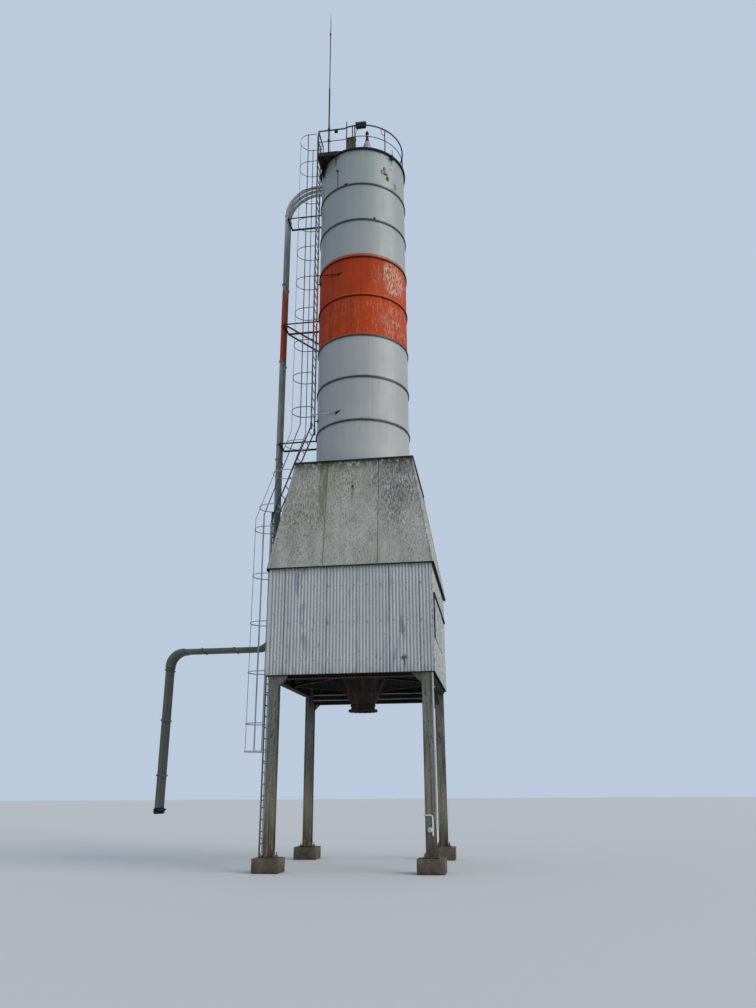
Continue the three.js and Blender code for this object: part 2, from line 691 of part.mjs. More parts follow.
function makeFillPipes() {
  const r = RUN_RADIUS;
  const g = GOOSENECK_RADIUS;
  const corners = [
    [DROP_X, DROP_LOW],
    ...bend([DROP_X + r, RUN_LEVEL - r], r, 180, 90),
    ...bend([RISER_X - r, RUN_LEVEL + r], r, -90, 0),
    ...bend([RISER_X + g, GOOSENECK_LEVEL - g], g, 180, 90),
    [-SILO_RADIUS + 40, GOOSENECK_LEVEL],
  ];
  [-PIPE_PITCH, 0, PIPE_PITCH].forEach((y, index) => {
    const pipe = sweep(new PipeRoute(corners, y), PIPE / 2, PIPE_SIDES, corners.length - 1);
    const flange = post(DROP_X, y, 5380, 5420, PIPE / 2 + 30, PIPE_SIDES);
    const name = `fill_pipe_${['near', 'middle', 'far'][index]}`;
    add(name, cutFrom(joined([pipe, flange]), [siloSpace()]), FINISH.pipe);
  });
  const clamp = block([DROP_X + 40, -PIPE_PITCH - 100, 1415], [DROP_X + 90, PIPE_PITCH + 100, 1465]);
  const couplings = [-PIPE_PITCH, 0, PIPE_PITCH].map((y) =>
    turned([[0, COUPLING_LOW], [70, COUPLING_LOW], [70, 1400], [80, 1410], [80, 1470], [70, 1480],
      [70, DROP_LOW - GAP], [0, DROP_LOW - GAP]], PIPE_SIDES).translate(DROP_X, y, 0));
  add('drop_couplings', joined([...couplings, clamp]), FINISH.dark);
}

// Brackets: two arms from the shell, and a cross bar that the pipes are clamped to
function makePipeBrackets() {
  const b = BRACKET_BAR;
  const crossX = RISER_X + PIPE / 2 + GAP;
  BRACKET_LEVELS.forEach((level, index) => {
    const arms = [-BRACKET_Y, BRACKET_Y].map((y) =>
      block([crossX, y - b / 2, level - b / 2], [-1000, y + b / 2, level + b / 2]));
    const cross = block([crossX, -BRACKET_Y, level - b / 2], [crossX + b, BRACKET_Y, level + b / 2]);
    const knees = index !== 1 ? [] : [-BRACKET_Y, BRACKET_Y].map((y) =>
      bar([crossX + b / 2, y, level], [-1300, y, level - 1000], b * 0.8));
    add(`pipe_bracket_${['low', 'middle', 'high'][index]}`,
      cutFrom(joined([...arms, cross, ...knees]), [siloSpace()]), FINISH.dark);
  });
  const z = 7300;
  const wallArms = [-BRACKET_Y, BRACKET_Y].map((y) =>
    block([crossX, y - b / 2, z - b / 2], [-BOX_WIDTH / 2 - GAP, y + b / 2, z + b / 2]));
  const cross = block([crossX, -BRACKET_Y, z - b / 2], [crossX + b, BRACKET_Y, z + b / 2]);
  add('pipe_bracket_wall', joined([...wallArms, cross]), FINISH.dark);
}

// Conduits on the front columns
function makeConduits() {
  const x = COLUMN_X + COLUMN_SIZE / 2 + 25 + GAP;
  const y = -COLUMN_Y - COLUMN_SIZE / 2 + COLUMN_FLANGE / 2;
  const right = post(x, y, 1000, BOX_LOW - GAP, 25);
  add('column_conduit', welded(right), FINISH.pipe);
}

makeFoundations();
makeFrame();
makeFloorBracing();
makeCladding();
makeHood();
makeDeck();
makeShell();
makeCone();
makeLadders();
makeLanding();
makeRailing();
makeLightningRod();
makeRoofFittings();
makeFillPipes();
makePipeBrackets();
makeConduits();

silo.position.set(COLUMN_X, COLUMN_Y, 0);

export default silo;
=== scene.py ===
"""Looks of the cement silo: finishes, profiled sheets, rails, pipes, bolts and weathering."""
import json
import math

import bmesh
import bpy
from mathutils import Matrix, Vector


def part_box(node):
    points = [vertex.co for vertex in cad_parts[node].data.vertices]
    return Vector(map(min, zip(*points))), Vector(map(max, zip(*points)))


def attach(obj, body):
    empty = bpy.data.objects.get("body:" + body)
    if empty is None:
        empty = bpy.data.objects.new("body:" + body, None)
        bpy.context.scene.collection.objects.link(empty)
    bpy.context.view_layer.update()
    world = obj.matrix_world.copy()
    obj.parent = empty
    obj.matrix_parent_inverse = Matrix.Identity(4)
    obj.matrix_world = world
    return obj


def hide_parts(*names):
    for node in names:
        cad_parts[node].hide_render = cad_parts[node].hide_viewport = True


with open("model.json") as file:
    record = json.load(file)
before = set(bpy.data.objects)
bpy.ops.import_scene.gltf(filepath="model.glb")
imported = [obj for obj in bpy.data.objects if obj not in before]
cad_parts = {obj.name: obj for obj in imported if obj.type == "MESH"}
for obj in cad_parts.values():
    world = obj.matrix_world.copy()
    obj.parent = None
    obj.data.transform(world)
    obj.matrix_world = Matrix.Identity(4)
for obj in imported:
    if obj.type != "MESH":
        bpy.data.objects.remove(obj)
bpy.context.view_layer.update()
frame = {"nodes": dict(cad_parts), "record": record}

# Sizes in metres. Pieces are modelled about the silo's upright axis and then moved onto it.
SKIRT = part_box("shell_skirt")
AXIS_X = (SKIRT[0][0] + SKIRT[1][0]) / 2
AXIS_Y = (SKIRT[0][1] + SKIRT[1][1]) / 2
SILO_RADIUS = 1.5
HOOD_TOP = 11.2
ROOF_LEVEL = 23.2
ROOF_FACE = 23.2303
COURSE = 1.5
BAND_LOW = HOOD_TOP + 3 * COURSE
BAND_HIGH = HOOD_TOP + 5 * COURSE
BOX_HALF_WIDTH = 2.28
BOX_HALF_DEPTH = 2.33
BOX_LOW = 4.85
BOX_HIGH = 7.8
FRONT_SHEETS = 2 * BOX_HALF_WIDTH
SIDE_SHEETS = 2 * BOX_HALF_DEPTH - 0.08
RIBS = 50
SCREW_ROWS = (5.22, 6.23, 7.25)
HOOD_HALF_WIDTH = 2.33
HOOD_HALF_DEPTH = 2.38
HOOD_TOP_HALF = 1.75
COLUMN_X = 2.06
COLUMN_Y = 2.1597
COLUMN_HALF = 0.13
LADDER_Y = -0.85
LADDER_HALF = 0.23
LADDER_X_HIGH = -1.48
LADDER_X_LOW = -2.62
BEND_HIGH = 12.77
BEND_LOW = 9.84
LADDER_TOP = 24.4
RUNG_PITCH = 0.3
CAGE_LOW = 2.96
CAGE_HALF = 0.38
CAGE_REACH_LOW = 0.6
CAGE_REACH_HIGH = 0.7
TOP_HOOP = 24.366
HOOP_PITCH = 1.22
HOOP_HEIGHT = 0.026
RAILING_RADIUS = 1.47
RAIL_RADIUS = 0.025
THIN_RAIL_RADIUS = 0.014
POST_RADIUS = 0.019
RAIL_HEIGHTS = (0.09, 0.6, 1.1)
PIPE_RADIUS = 0.057
PIPE_ROWS = (-0.2, 0.0, 0.2)
PIPE_RUN_LEVEL = 5.95
RISER_X = -2.78
DROP_X = -5.95
CORNERS = ((-1, -1), (1, -1), (1, 1), (-1, 1))
CENTRE = (0.0, 0.0, 0.0)
UPWARDS = (0.0, 0.0, 1.0)
FORWARDS = (0.0, 1.0, 0.0)
# How wide the broken edges of plates and of thin parts are
EDGE = 0.003
FINE = 0.001


# Camera at the photograph's viewing angle
def place_camera():
    yaw = -0.143
    pitch = math.radians(19.749)
    roll = math.radians(-0.398)
    forward = Vector((math.sin(yaw) * math.cos(pitch), math.cos(yaw) * math.cos(pitch), math.sin(pitch)))
    level_right = Vector((math.cos(yaw), -math.sin(yaw), 0.0))
    level_up = level_right.cross(forward)
    right = math.cos(roll) * level_right + math.sin(roll) * level_up
    up = -math.sin(roll) * level_right + math.cos(roll) * level_up
    data = bpy.data.cameras.new("photo_camera")
    data.lens = 28.571
    data.sensor_width = 36.0
    data.clip_end = 500.0
    camera = bpy.data.objects.new("photo_camera", data)
    bpy.context.collection.objects.link(camera)
    turn = Matrix((right, up, -forward)).transposed().to_4x4()
    eye = Vector((AXIS_X + 3.859, AXIS_Y - 23.48, 1.9))
    camera.matrix_world = Matrix.Translation(eye) @ turn
    bpy.context.scene.camera = camera


# Modelling helpers, each built on Blender's own operators
def alone(piece):
    """Selects one piece and nothing else."""
    bpy.ops.object.select_all(action="DESELECT")
    piece.select_set(True)
    bpy.context.view_layer.objects.active = piece


def open_mesh(piece=None):
    """Goes into edit mode, on the piece given or on the one just added, with all of it selected."""
    if piece:
        alone(piece)
    bpy.ops.object.mode_set(mode="EDIT")
    take_all()


def close_mesh():
    bpy.ops.object.mode_set(mode="OBJECT")
    return bpy.context.object


def take_all():
    bpy.ops.mesh.select_all(action="SELECT")


def pull(way):
    """Extrudes what is selected along a vector."""
    bpy.ops.mesh.extrude_region_move(TRANSFORM_OT_translate={"value": way})


def chamfer(size, segments=1):
    bpy.ops.mesh.bevel(offset=size, segments=segments, affect="EDGES")


def settle():
    """Writes the active piece's place, turn and size into its mesh."""
    bpy.ops.object.transform_apply(location=True, rotation=True, scale=True)


def moved(piece, place):
    """A piece moved by a vector, written into its mesh."""
    alone(piece)
    piece.location = place
    settle()
    return piece


def take_faces(test):
    """In edit mode, selects only the faces whose middle passes the test."""
    bpy.ops.mesh.select_mode(type="FACE")
    bpy.ops.mesh.select_all(action="DESELECT")
    data = bpy.context.object.data
    for face in bmesh.from_edit_mesh(data).faces:
        middle = sum((corner.co for corner in face.verts), Vector()) / len(face.verts)
        if test(middle):
            face.select_set(True)
    bmesh.update_edit_mesh(data)


def applied(piece, kind, **settings):
    """Adds one modifier and applies it."""
    alone(piece)
    modifier = piece.modifiers.new(kind.lower(), kind)
    for label, value in settings.items():
        setattr(modifier, label, value)
    bpy.ops.object.modifier_apply(modifier=modifier.name)
    return piece


def repeated(piece, count, step, **settings):
    """A row of copies of a piece, in its own mesh."""
    return applied(piece, "ARRAY", count=count, use_relative_offset=False, use_constant_offset=True,
                   constant_offset_displace=step, **settings)


def copied(piece, place):
    """A copy with its own mesh, moved by a vector."""
    alone(piece)
    bpy.ops.object.duplicate()
    return moved(bpy.context.object, place)


def gathered(*pieces):
    """One piece out of several."""
    bpy.ops.object.select_all(action="DESELECT")
    for piece in pieces:
        piece.select_set(True)
    bpy.context.view_layer.objects.active = pieces[0]
    if len(pieces) > 1:
        bpy.ops.object.join()
    return bpy.context.object


def slab(low, high, edge=EDGE):
    """A plate or a bar between two corners, with its edges broken."""
    low = Vector(low)
    high = Vector(high)
    bpy.ops.object.select_all(action="DESELECT")
    bpy.ops.mesh.primitive_cube_add(size=1.0, location=(low + high) / 2, scale=high - low)
    settle()
    open_mesh()
    chamfer(edge)
    return close_mesh()


def peg(middle, radius, height, sides):
    """A short upright round or hexagonal body with a chamfered top."""
    crown = radius * 0.25
    bpy.ops.object.select_all(action="DESELECT")
    bpy.ops.mesh.primitive_cylinder_add(vertices=sides, radius=radius, depth=height, location=middle)
    settle()
    open_mesh()
    take_faces(lambda place: place.z > middle[2] + height * 0.49)
    bpy.ops.mesh.inset(thickness=crown)
    bpy.ops.transform.translate(value=(0.0, 0.0, crown * 0.6))
    return close_mesh()


class Line:
    """A line drawn in edit mode from point to point, which tubes, faces and turned bodies grow from."""

    def __init__(self, start):
        bpy.ops.object.select_all(action="DESELECT")
        bpy.ops.mesh.primitive_plane_add(size=0.01)
        bpy.ops.object.mode_set(mode="EDIT")
        bpy.ops.mesh.select_mode(type="VERT")
        take_all()
        bpy.ops.mesh.merge(type="CENTER")
        bpy.ops.transform.translate(value=start)
        self.end = Vector(start)

    def to(self, *points):
        for point in points:
            step = Vector(point) - self.end
            bpy.ops.mesh.extrude_vertices_move(TRANSFORM_OT_translate={"value": step})
            self.end = Vector(point)
        return self

    def turn(self, centre, axis, degrees, steps):
        """An arc, anticlockwise where the axis points at the eye."""
        angle = math.radians(degrees)
        bpy.ops.mesh.spin(steps=steps, angle=-angle, center=centre, axis=axis)
        about = Matrix.Rotation(angle, 3, Vector(axis))
        self.end = Vector(centre) + about @ (self.end - Vector(centre))
        return self

    def tube(self, radius, sides=12):
        """A round bar along the line."""
        close_mesh()
        bpy.ops.object.convert(target="CURVE")
        curve = bpy.context.object.data
        curve.bevel_depth = radius
        curve.bevel_resolution = sides // 2 - 2
        curve.use_fill_caps = True
        bpy.ops.object.convert(target="MESH")
        open_mesh()
        close_seams()
        return close_mesh()


def close_seams():
    """Merges doubled points and turns every face outwards."""
    take_all()
    bpy.ops.mesh.remove_doubles(threshold=0.0002)
    bpy.ops.mesh.normals_make_consistent(inside=False)


def turned(profile, steps=96, centre=(0.0, 0.0)):
    """A round body from pairs of radius and height, closed where the pairs end where they start."""
    points = [(centre[0] + radius, centre[1], height) for radius, height in profile]
    Line(points[0]).to(*points[1:])
    take_all()
    bpy.ops.mesh.spin(steps=steps, angle=math.tau, center=(*centre, 0.0), axis=UPWARDS)
    close_seams()
    return close_mesh()


def band(inner, outer, low, high):
    """Pairs of radius and height round a flat ring."""
    return [(inner, low), (outer, low), (outer, high), (inner, high), (inner, low)]


def flat_outline(points):
    """In edit mode, one face inside a closed outline."""
    Line(points[0]).to(*points[1:], points[0])
    take_all()
    bpy.ops.mesh.remove_doubles(threshold=0.0001)
    bpy.ops.mesh.edge_face_add()


def pulled_out(way, edge=0.0):
    """Pulls the face that is open in edit mode along a vector, and breaks its edges where edge is given."""
    pull(way)
    take_all()
    bpy.ops.mesh.normals_make_consistent(inside=False)
    if edge:
        chamfer(edge)
    return close_mesh()


def extruded(points, way, edge=0.0):
    """A flat outline pulled out along a vector."""
    flat_outline(points)
    return pulled_out(way, edge)


def rolled(start, end, outline, edge=0.0, up=UPWARDS):
    """A rolled section from one place to another, its outline given sideways and upwards."""
    along = Vector(end) - Vector(start)
    side = along.cross(Vector(up)).normalized()
    rise = side.cross(along).normalized()
    points = [Vector(start) + a * side + b * rise for a, b in outline]
    return extruded(points, along, edge)


def i_section(width, height, flange, web):
    w, h, t = width / 2, height / 2, web / 2
    return [(-w, -h), (w, -h), (w, flange - h), (t, flange - h), (t, h - flange), (w, h - flange),
            (w, h), (-w, h), (-w, h - flange), (-t, h - flange), (-t, flange - h), (-w, flange - h)]


def angle_section(leg, thick):
    return [(0, 0), (leg, 0), (leg, thick), (thick, thick), (thick, leg), (0, leg)]


def bar_section(half_wide, half_high):
    return [(-half_wide, -half_high), (half_wide, -half_high), (half_wide, half_high),
            (-half_wide, half_high)]


def on_ring(radius, degrees):
    """Where a place at an angle round the silo's axis is, to the right and to the back."""
    angle = math.radians(degrees)
    return radius * math.cos(angle), radius * math.sin(angle)


def ringed(piece, count):
    """Copies of a piece evenly round the silo's axis, in its own mesh."""
    open_mesh(piece)
    bpy.ops.mesh.spin(steps=count - 1, dupli=True, angle=math.tau * (count - 1) / count,
                      center=CENTRE, axis=UPWARDS)
    return close_mesh()


def bolt(place, size):
    """A washer with a hexagon head on it, standing up."""
    x, y, z = place
    washer = peg((x, y, z + size * 0.12), size * 1.7, size * 0.3, 10)
    return gathered(washer, peg((x, y, z + size * 0.7), size, size * 1.1, 6))


def tipped(piece, axis, degrees, about=CENTRE):
    """A piece turned about an axis through a place."""
    alone(piece)
    turn = Matrix.Translation(about) @ Matrix.Rotation(math.radians(degrees), 4, axis)
    piece.matrix_world = turn @ Matrix.Translation(-Vector(about)) @ piece.matrix_world
    settle()
    return piece


def level_peg(axis, place, radius, height, sides):
    """A peg that lies level, turned about its own place."""
    return tipped(peg(place, radius, height, sides), axis, 90, place)


def turned_to(piece, degrees):
    """A piece turned about the silo's axis."""
    return tipped(piece, "Z", degrees)


def dressed(name, made, slot, *stands_for, finish=None, smooth=35.0):
    """Moves a modelled piece or a list of them onto the silo's axis, with its finish and its body."""
    piece = gathered(*made) if isinstance(made, list) else made
    piece.name = name
    moved(piece, (AXIS_X, AXIS_Y, 0.0))
    bpy.ops.object.shade_smooth_by_angle(angle=math.radians(smooth))
    piece.data.materials.clear()
    piece.data.materials.append(FINISHES[finish or slot])
    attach(piece, "root")
    if stands_for:
        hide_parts(*stands_for)


# Finishes: each is a principled shader with layers of colour laid over a base
class Finish:
    def __init__(self, name, colour, roughness, metallic=0.0, shine=0.5):
        self.material = bpy.data.materials.new(name)
        self.material.use_nodes = True
        self.tree = self.material.node_tree
        self.shader = self.tree.nodes["Principled BSDF"]
        self.shader.inputs["Roughness"].default_value = roughness
        self.shader.inputs["Metallic"].default_value = metallic
        self.shader.inputs["Specular IOR Level"].default_value = shine
        self.colour = (*colour, 1.0)
        coordinates = self.tree.nodes.new("ShaderNodeTexCoord")
        self.place = coordinates.outputs["Object"]
        self.grain = self.place
        self.normal = coordinates.outputs["Normal"]

    def node(self, kind, **inputs):
        made = self.tree.nodes.new(kind)
        for label, value in inputs.items():
            self.feed(value, made.inputs[label.replace("_", " ")])
        return made

    def feed(self, value, socket):
        if isinstance(value, bpy.types.NodeSocket):
            self.tree.links.new(value, socket)
        else:
            socket.default_value = value

    def math(self, operation, first, second=0.0):
        made = self.tree.nodes.new("ShaderNodeMath")
        made.operation = operation
        self.feed(first, made.inputs[0])
        self.feed(second, made.inputs[1])
        return made.outputs[0]

    def ramp(self, value, low, high):
        """0 at low and 1 at high, level beyond them."""
        made = self.node("ShaderNodeMapRange", Value=value, From_Min=low, From_Max=high)
        return made.outputs["Result"]

    def noise(self, across, down, low, high, detail=6.0, shift=CENTRE, roughness=0.6):
        """Cloudy patches, their fineness given across and down: what is above low to high shows."""
        stretch = (across, across, down)
        mapping = self.node("ShaderNodeMapping", Vector=self.grain, Scale=stretch, Location=shift)
        made = self.node("ShaderNodeTexNoise", Vector=mapping.outputs["Vector"], Scale=1.0, Detail=detail,
                         Roughness=roughness)
        return self.ramp(made.outputs["Fac"], low, high)

    def axis(self, letter):
        split = self.node("ShaderNodeSeparateXYZ", Vector=self.place)
        return split.outputs[letter]

    def along(self, letter, low, high):
        """0 at one place along an axis and 1 at another, level beyond them."""
        return self.ramp(self.axis(letter), low, high)

    def down_slopes(self):
        """Lets noise run along each face and down it, so streaks on a leaning face go straight down."""
        out = self.node("ShaderNodeSeparateXYZ", Vector=self.normal)
        side = self.math("GREATER_THAN", self.math("ABSOLUTE", out.outputs["X"]),
                         self.math("ABSOLUTE", out.outputs["Y"]))
        across = self.math("ADD", self.times(self.axis("X"), self.math("SUBTRACT", 1.0, side)),
                           self.times(self.axis("Y"), side))
        joined = self.node("ShaderNodeCombineXYZ", X=across, Y=side, Z=self.axis("Z"))
        self.grain = joined.outputs["Vector"]

    def reach(self):
        """Distance from the silo's axis."""
        x = self.math("SUBTRACT", self.axis("X"), AXIS_X)
        y = self.math("SUBTRACT", self.axis("Y"), AXIS_Y)
        return self.math("SQRT", self.math("ADD", self.math("POWER", x, 2.0), self.math("POWER", y, 2.0)))

    def inwards(self):
        """1 on faces that look towards the silo's axis."""
        out = self.node("ShaderNodeSeparateXYZ", Vector=self.normal)
        x = self.math("MULTIPLY", self.math("SUBTRACT", self.axis("X"), AXIS_X), out.outputs["X"])
        y = self.math("MULTIPLY", self.math("SUBTRACT", self.axis("Y"), AXIS_Y), out.outputs["Y"])
        return self.ramp(self.math("ADD", x, y), 0.0, -0.4)

    def between(self, value, low, high, soft):
        """1 from low to high, fading out over the soft width."""
        return self.times(self.ramp(value, low - soft, low), self.ramp(value, high + soft, high))

    def patch(self, x, z, wide, high):
        """1 at a place on the front, given from the silo's axis, falling to 0 over its reach."""
        front = self.along("Y", AXIS_Y + 0.1, AXIS_Y - 0.1)
        across = self.near(self.axis("X"), AXIS_X + x, wide)
        return self.times(across, self.near(self.axis("Z"), z, high), front)

    def valleys(self, letter, middle, width, share):
        """1 along the valleys of a ribbed wall that runs along an axis."""
        way = self.math("SUBTRACT", self.axis(letter), middle - width / 2)
        phase = self.math("FRACT", self.math("DIVIDE", way, width / RIBS))
        off_middle = self.math("ABSOLUTE", self.math("SUBTRACT", phase, 0.5))
        return self.times(self.ramp(off_middle, 0.22, 0.34), share)

    def near(self, value, middle, width):
        """1 at the middle, falling to 0 a width away."""
        return self.ramp(self.math("ABSOLUTE", self.math("SUBTRACT", value, middle)), width, 0.0)

    def times(self, *values):
        result = values[0]
        for value in values[1:]:
            result = self.math("MULTIPLY", result, value)
        return result

    def most(self, *values):
        result = values[0]
        for value in values[1:]:
            result = self.math("MAXIMUM", result, value)
        return result

    def layer(self, colour, *shares):
        """Lays a colour over what is there, as far as its shares go when multiplied."""
        mix = self.tree.nodes.new("ShaderNodeMix")
        mix.data_type = "RGBA"
        self.feed(self.times(*shares), mix.inputs[0])
        self.feed(self.colour, mix.inputs[6])
        mix.inputs[7].default_value = (*colour, 1.0)
        self.colour = mix.outputs[2]

    def gloss(self, share, low, high):
        """Roughness from low to high where share goes from 0 to 1."""
        made = self.node("ShaderNodeMapRange", Value=share, To_Min=low, To_Max=high)
        self.feed(made.outputs["Result"], self.shader.inputs["Roughness"])

    def bare_metal(self, share):
        """Bare dark metal where share is 1, which mirrors less of the sky than paint does."""
        self.feed(share, self.shader.inputs["Metallic"])

    def bump(self, height, distance, strength):
        """Raises the surface by a height, on top of the bumps that are there."""
        made = self.node("ShaderNodeBump", Height=height, Distance=distance, Strength=strength)
        socket = self.shader.inputs["Normal"]
        if socket.is_linked:
            self.feed(socket.links[0].from_socket, made.inputs["Normal"])
        self.feed(made.outputs["Normal"], socket)

    def roughen(self, fineness, distance, strength):
        """Fine grain all over."""
        grain = self.noise(fineness, fineness, 0.3, 0.7)
        self.bump(grain, distance, strength)

    def done(self):
        self.feed(self.colour, self.shader.inputs["Base Color"])
        return self.material


GRIME = (0.075, 0.07, 0.058)
SOOT = (0.022, 0.022, 0.02)
RUST = (0.16, 0.06, 0.022)
DARK_RUST = (0.05, 0.026, 0.015)
ORANGE = (0.42, 0.048, 0.009)


def course_share(finish):
    """How far up its course a place on the shell is, from 0 to 1."""
    level = finish.math("SUBTRACT", finish.axis("Z"), HOOD_TOP)
    return finish.math("FRACT", finish.math("DIVIDE", level, COURSE))


# Rust strokes under the roof rim: place from the silo's axis, reach to each side, strength
RUST_STROKES = [(0.950, 22.47, 0.045, 0.12, 1.00), (0.865, 22.31, 0.040, 0.13, 0.90),
                (0.985, 22.29, 0.085, 0.065, 1.00), (1.045, 22.13, 0.055, 0.12, 1.00),
                (1.28, 21.98, 0.035, 0.14, 0.55), (1.20, 21.76, 0.040, 0.10, 0.50),
                (1.15, 22.62, 0.028, 0.08, 0.60)]


def shell_paint():
    finish = Finish("shell_paint", (0.335, 0.337, 0.320), 0.45)
    high_part = finish.along("Z", 15.5, 21.5)
    finish.layer((0.262, 0.290, 0.276), high_part)
    low_part = finish.along("Z", 13.2, 11.3)
    finish.layer((0.41, 0.405, 0.385), low_part, 0.85)
    finish.layer((0.29, 0.297, 0.283), finish.noise(0.6, 0.4, 0.4, 0.68), 0.55)
    pale_runs = finish.noise(4.0, 0.12, 0.50, 0.78, detail=7, shift=(3, 1, 0))
    finish.layer((0.46, 0.46, 0.44), pale_runs, 0.20)
    under_joint = finish.ramp(course_share(finish), 0.30, 0.97)
    streaks = finish.noise(9.0, 0.20, 0.50, 0.74, detail=7, roughness=0.68)
    finish.layer((0.16, 0.16, 0.135), streaks, under_joint, 0.32)
    above_joint = finish.ramp(course_share(finish), 0.05, 0.0)
    finish.layer((0.15, 0.14, 0.11), above_joint, finish.noise(5.0, 5.0, 0.40, 0.62), 0.75)
    specks = finish.noise(20.0, 9.0, 0.68, 0.72, detail=4)
    finish.layer((0.15, 0.13, 0.09), specks, 0.75)
    stain = finish.noise(11.0, 6.0, 0.40, 0.56, shift=(2.3, 4.2, 1.1), roughness=0.65)
    stained = finish.most(finish.patch(0.97, 22.22, 0.17, 0.42), finish.patch(1.24, 21.95, 0.12, 0.36))
    finish.layer((0.20, 0.18, 0.085), stain, finish.ramp(stained, 0.05, 0.5), 0.60)
    rough_edge = finish.noise(16.0, 10.0, 0.38, 0.42, detail=3, shift=(11.3, 4.2, 6.1))
    strokes = [finish.times(finish.ramp(finish.patch(x, z, wide, high), 0.02, 0.16), strength)
               for x, z, wide, high, strength in RUST_STROKES]
    rust_marks = finish.times(finish.most(*strokes), rough_edge)
    finish.layer((0.028, 0.018, 0.010), rust_marks)
    finish.bare_metal(rust_marks)
    painted_edge = finish.between(finish.axis("Z"), BAND_HIGH, BAND_HIGH + 0.10, 0.015)
    finish.layer((0.36, 0.052, 0.016), painted_edge)
    # Flanges painted near black: painted shade under the joints, with some grime on them
    finish.layer((0.018, 0.017, 0.015), finish.ramp(finish.reach(), 1.502, 1.505), 0.95)
    top_grime = finish.times(finish.along("Z", 22.9, 23.2), finish.noise(6.0, 0.9, 0.35, 0.6))
    finish.layer((0.12, 0.105, 0.075), top_grime, 0.6)
    finish.gloss(finish.noise(2.2, 1.1, 0.3, 0.7), 0.36, 0.58)
    finish.bump(finish.noise(0.9, 0.8, 0.2, 0.8, detail=2), 0.010, 0.35)
    finish.roughen(60.0, 0.0012, 0.4)
    return finish.done()


def orange_paint():
    finish = Finish("orange_paint", ORANGE, 0.65, shine=0.12)
    finish.layer((0.32, 0.032, 0.006), finish.noise(0.8, 0.6, 0.40, 0.62), 0.8)
    finish.layer((0.47, 0.085, 0.018), finish.noise(3.0, 0.25, 0.50, 0.74, shift=(2, 5, 1)), 0.6)
    runs = finish.noise(13.0, 0.9, 0.57, 0.68, roughness=0.65)
    finish.layer((0.50, 0.155, 0.050), runs, finish.noise(3.0, 1.4, 0.46, 0.60), 0.45)
    dark_runs = finish.noise(10.0, 0.30, 0.53, 0.70, shift=(7, 1, 1))
    finish.layer((0.13, 0.018, 0.006), dark_runs, 0.55)
    flecks = finish.noise(24.0, 4.0, 0.56, 0.62, detail=5, shift=(6, 2, 8), roughness=0.66)
    right = finish.along("X", AXIS_X + 0.35, AXIS_X + 1.2)
    lower_course = finish.along("Z", BAND_LOW + COURSE, BAND_LOW + COURSE - 0.2)
    share = finish.math("ADD", finish.times(right, 0.6), finish.times(lower_course, 0.22))
    finish.layer((0.55, 0.31, 0.19), flecks, share)
    chips = finish.noise(26.0, 6.0, 0.49, 0.56, detail=7, shift=(1.4, 0.0, 3.3), roughness=0.70)
    upper = finish.ramp(finish.patch(1.17, 18.03, 0.32, 0.70), 0.02, 0.20)
    beside = finish.times(finish.ramp(finish.patch(0.70, 17.90, 0.26, 0.42), 0.05, 0.45), 0.22)
    lower = finish.times(finish.ramp(finish.patch(1.08, 16.35, 0.45, 0.68), 0.10, 0.60), 0.40)
    peeled = finish.times(chips, finish.most(upper, beside, lower))
    finish.layer((0.52, 0.43, 0.34), peeled, 0.9)
    lit_edge = finish.between(course_share(finish), 0.0, 0.040, 0.008)
    finish.layer((0.52, 0.11, 0.045), lit_edge, 0.45)
    # Painted shade: the gap and the lower half of each flange are painted dark red-brown where shade falls
    # under the joint
    gap = finish.times(finish.ramp(finish.reach(), 1.502, 1.505),
                       finish.ramp(course_share(finish), 0.988, 0.982))
    finish.layer((0.035, 0.008, 0.005), gap, 0.95)
    finish.bump(chips, 0.0015, 0.4)
    finish.roughen(60.0, 0.001, 0.4)
    return finish.done()


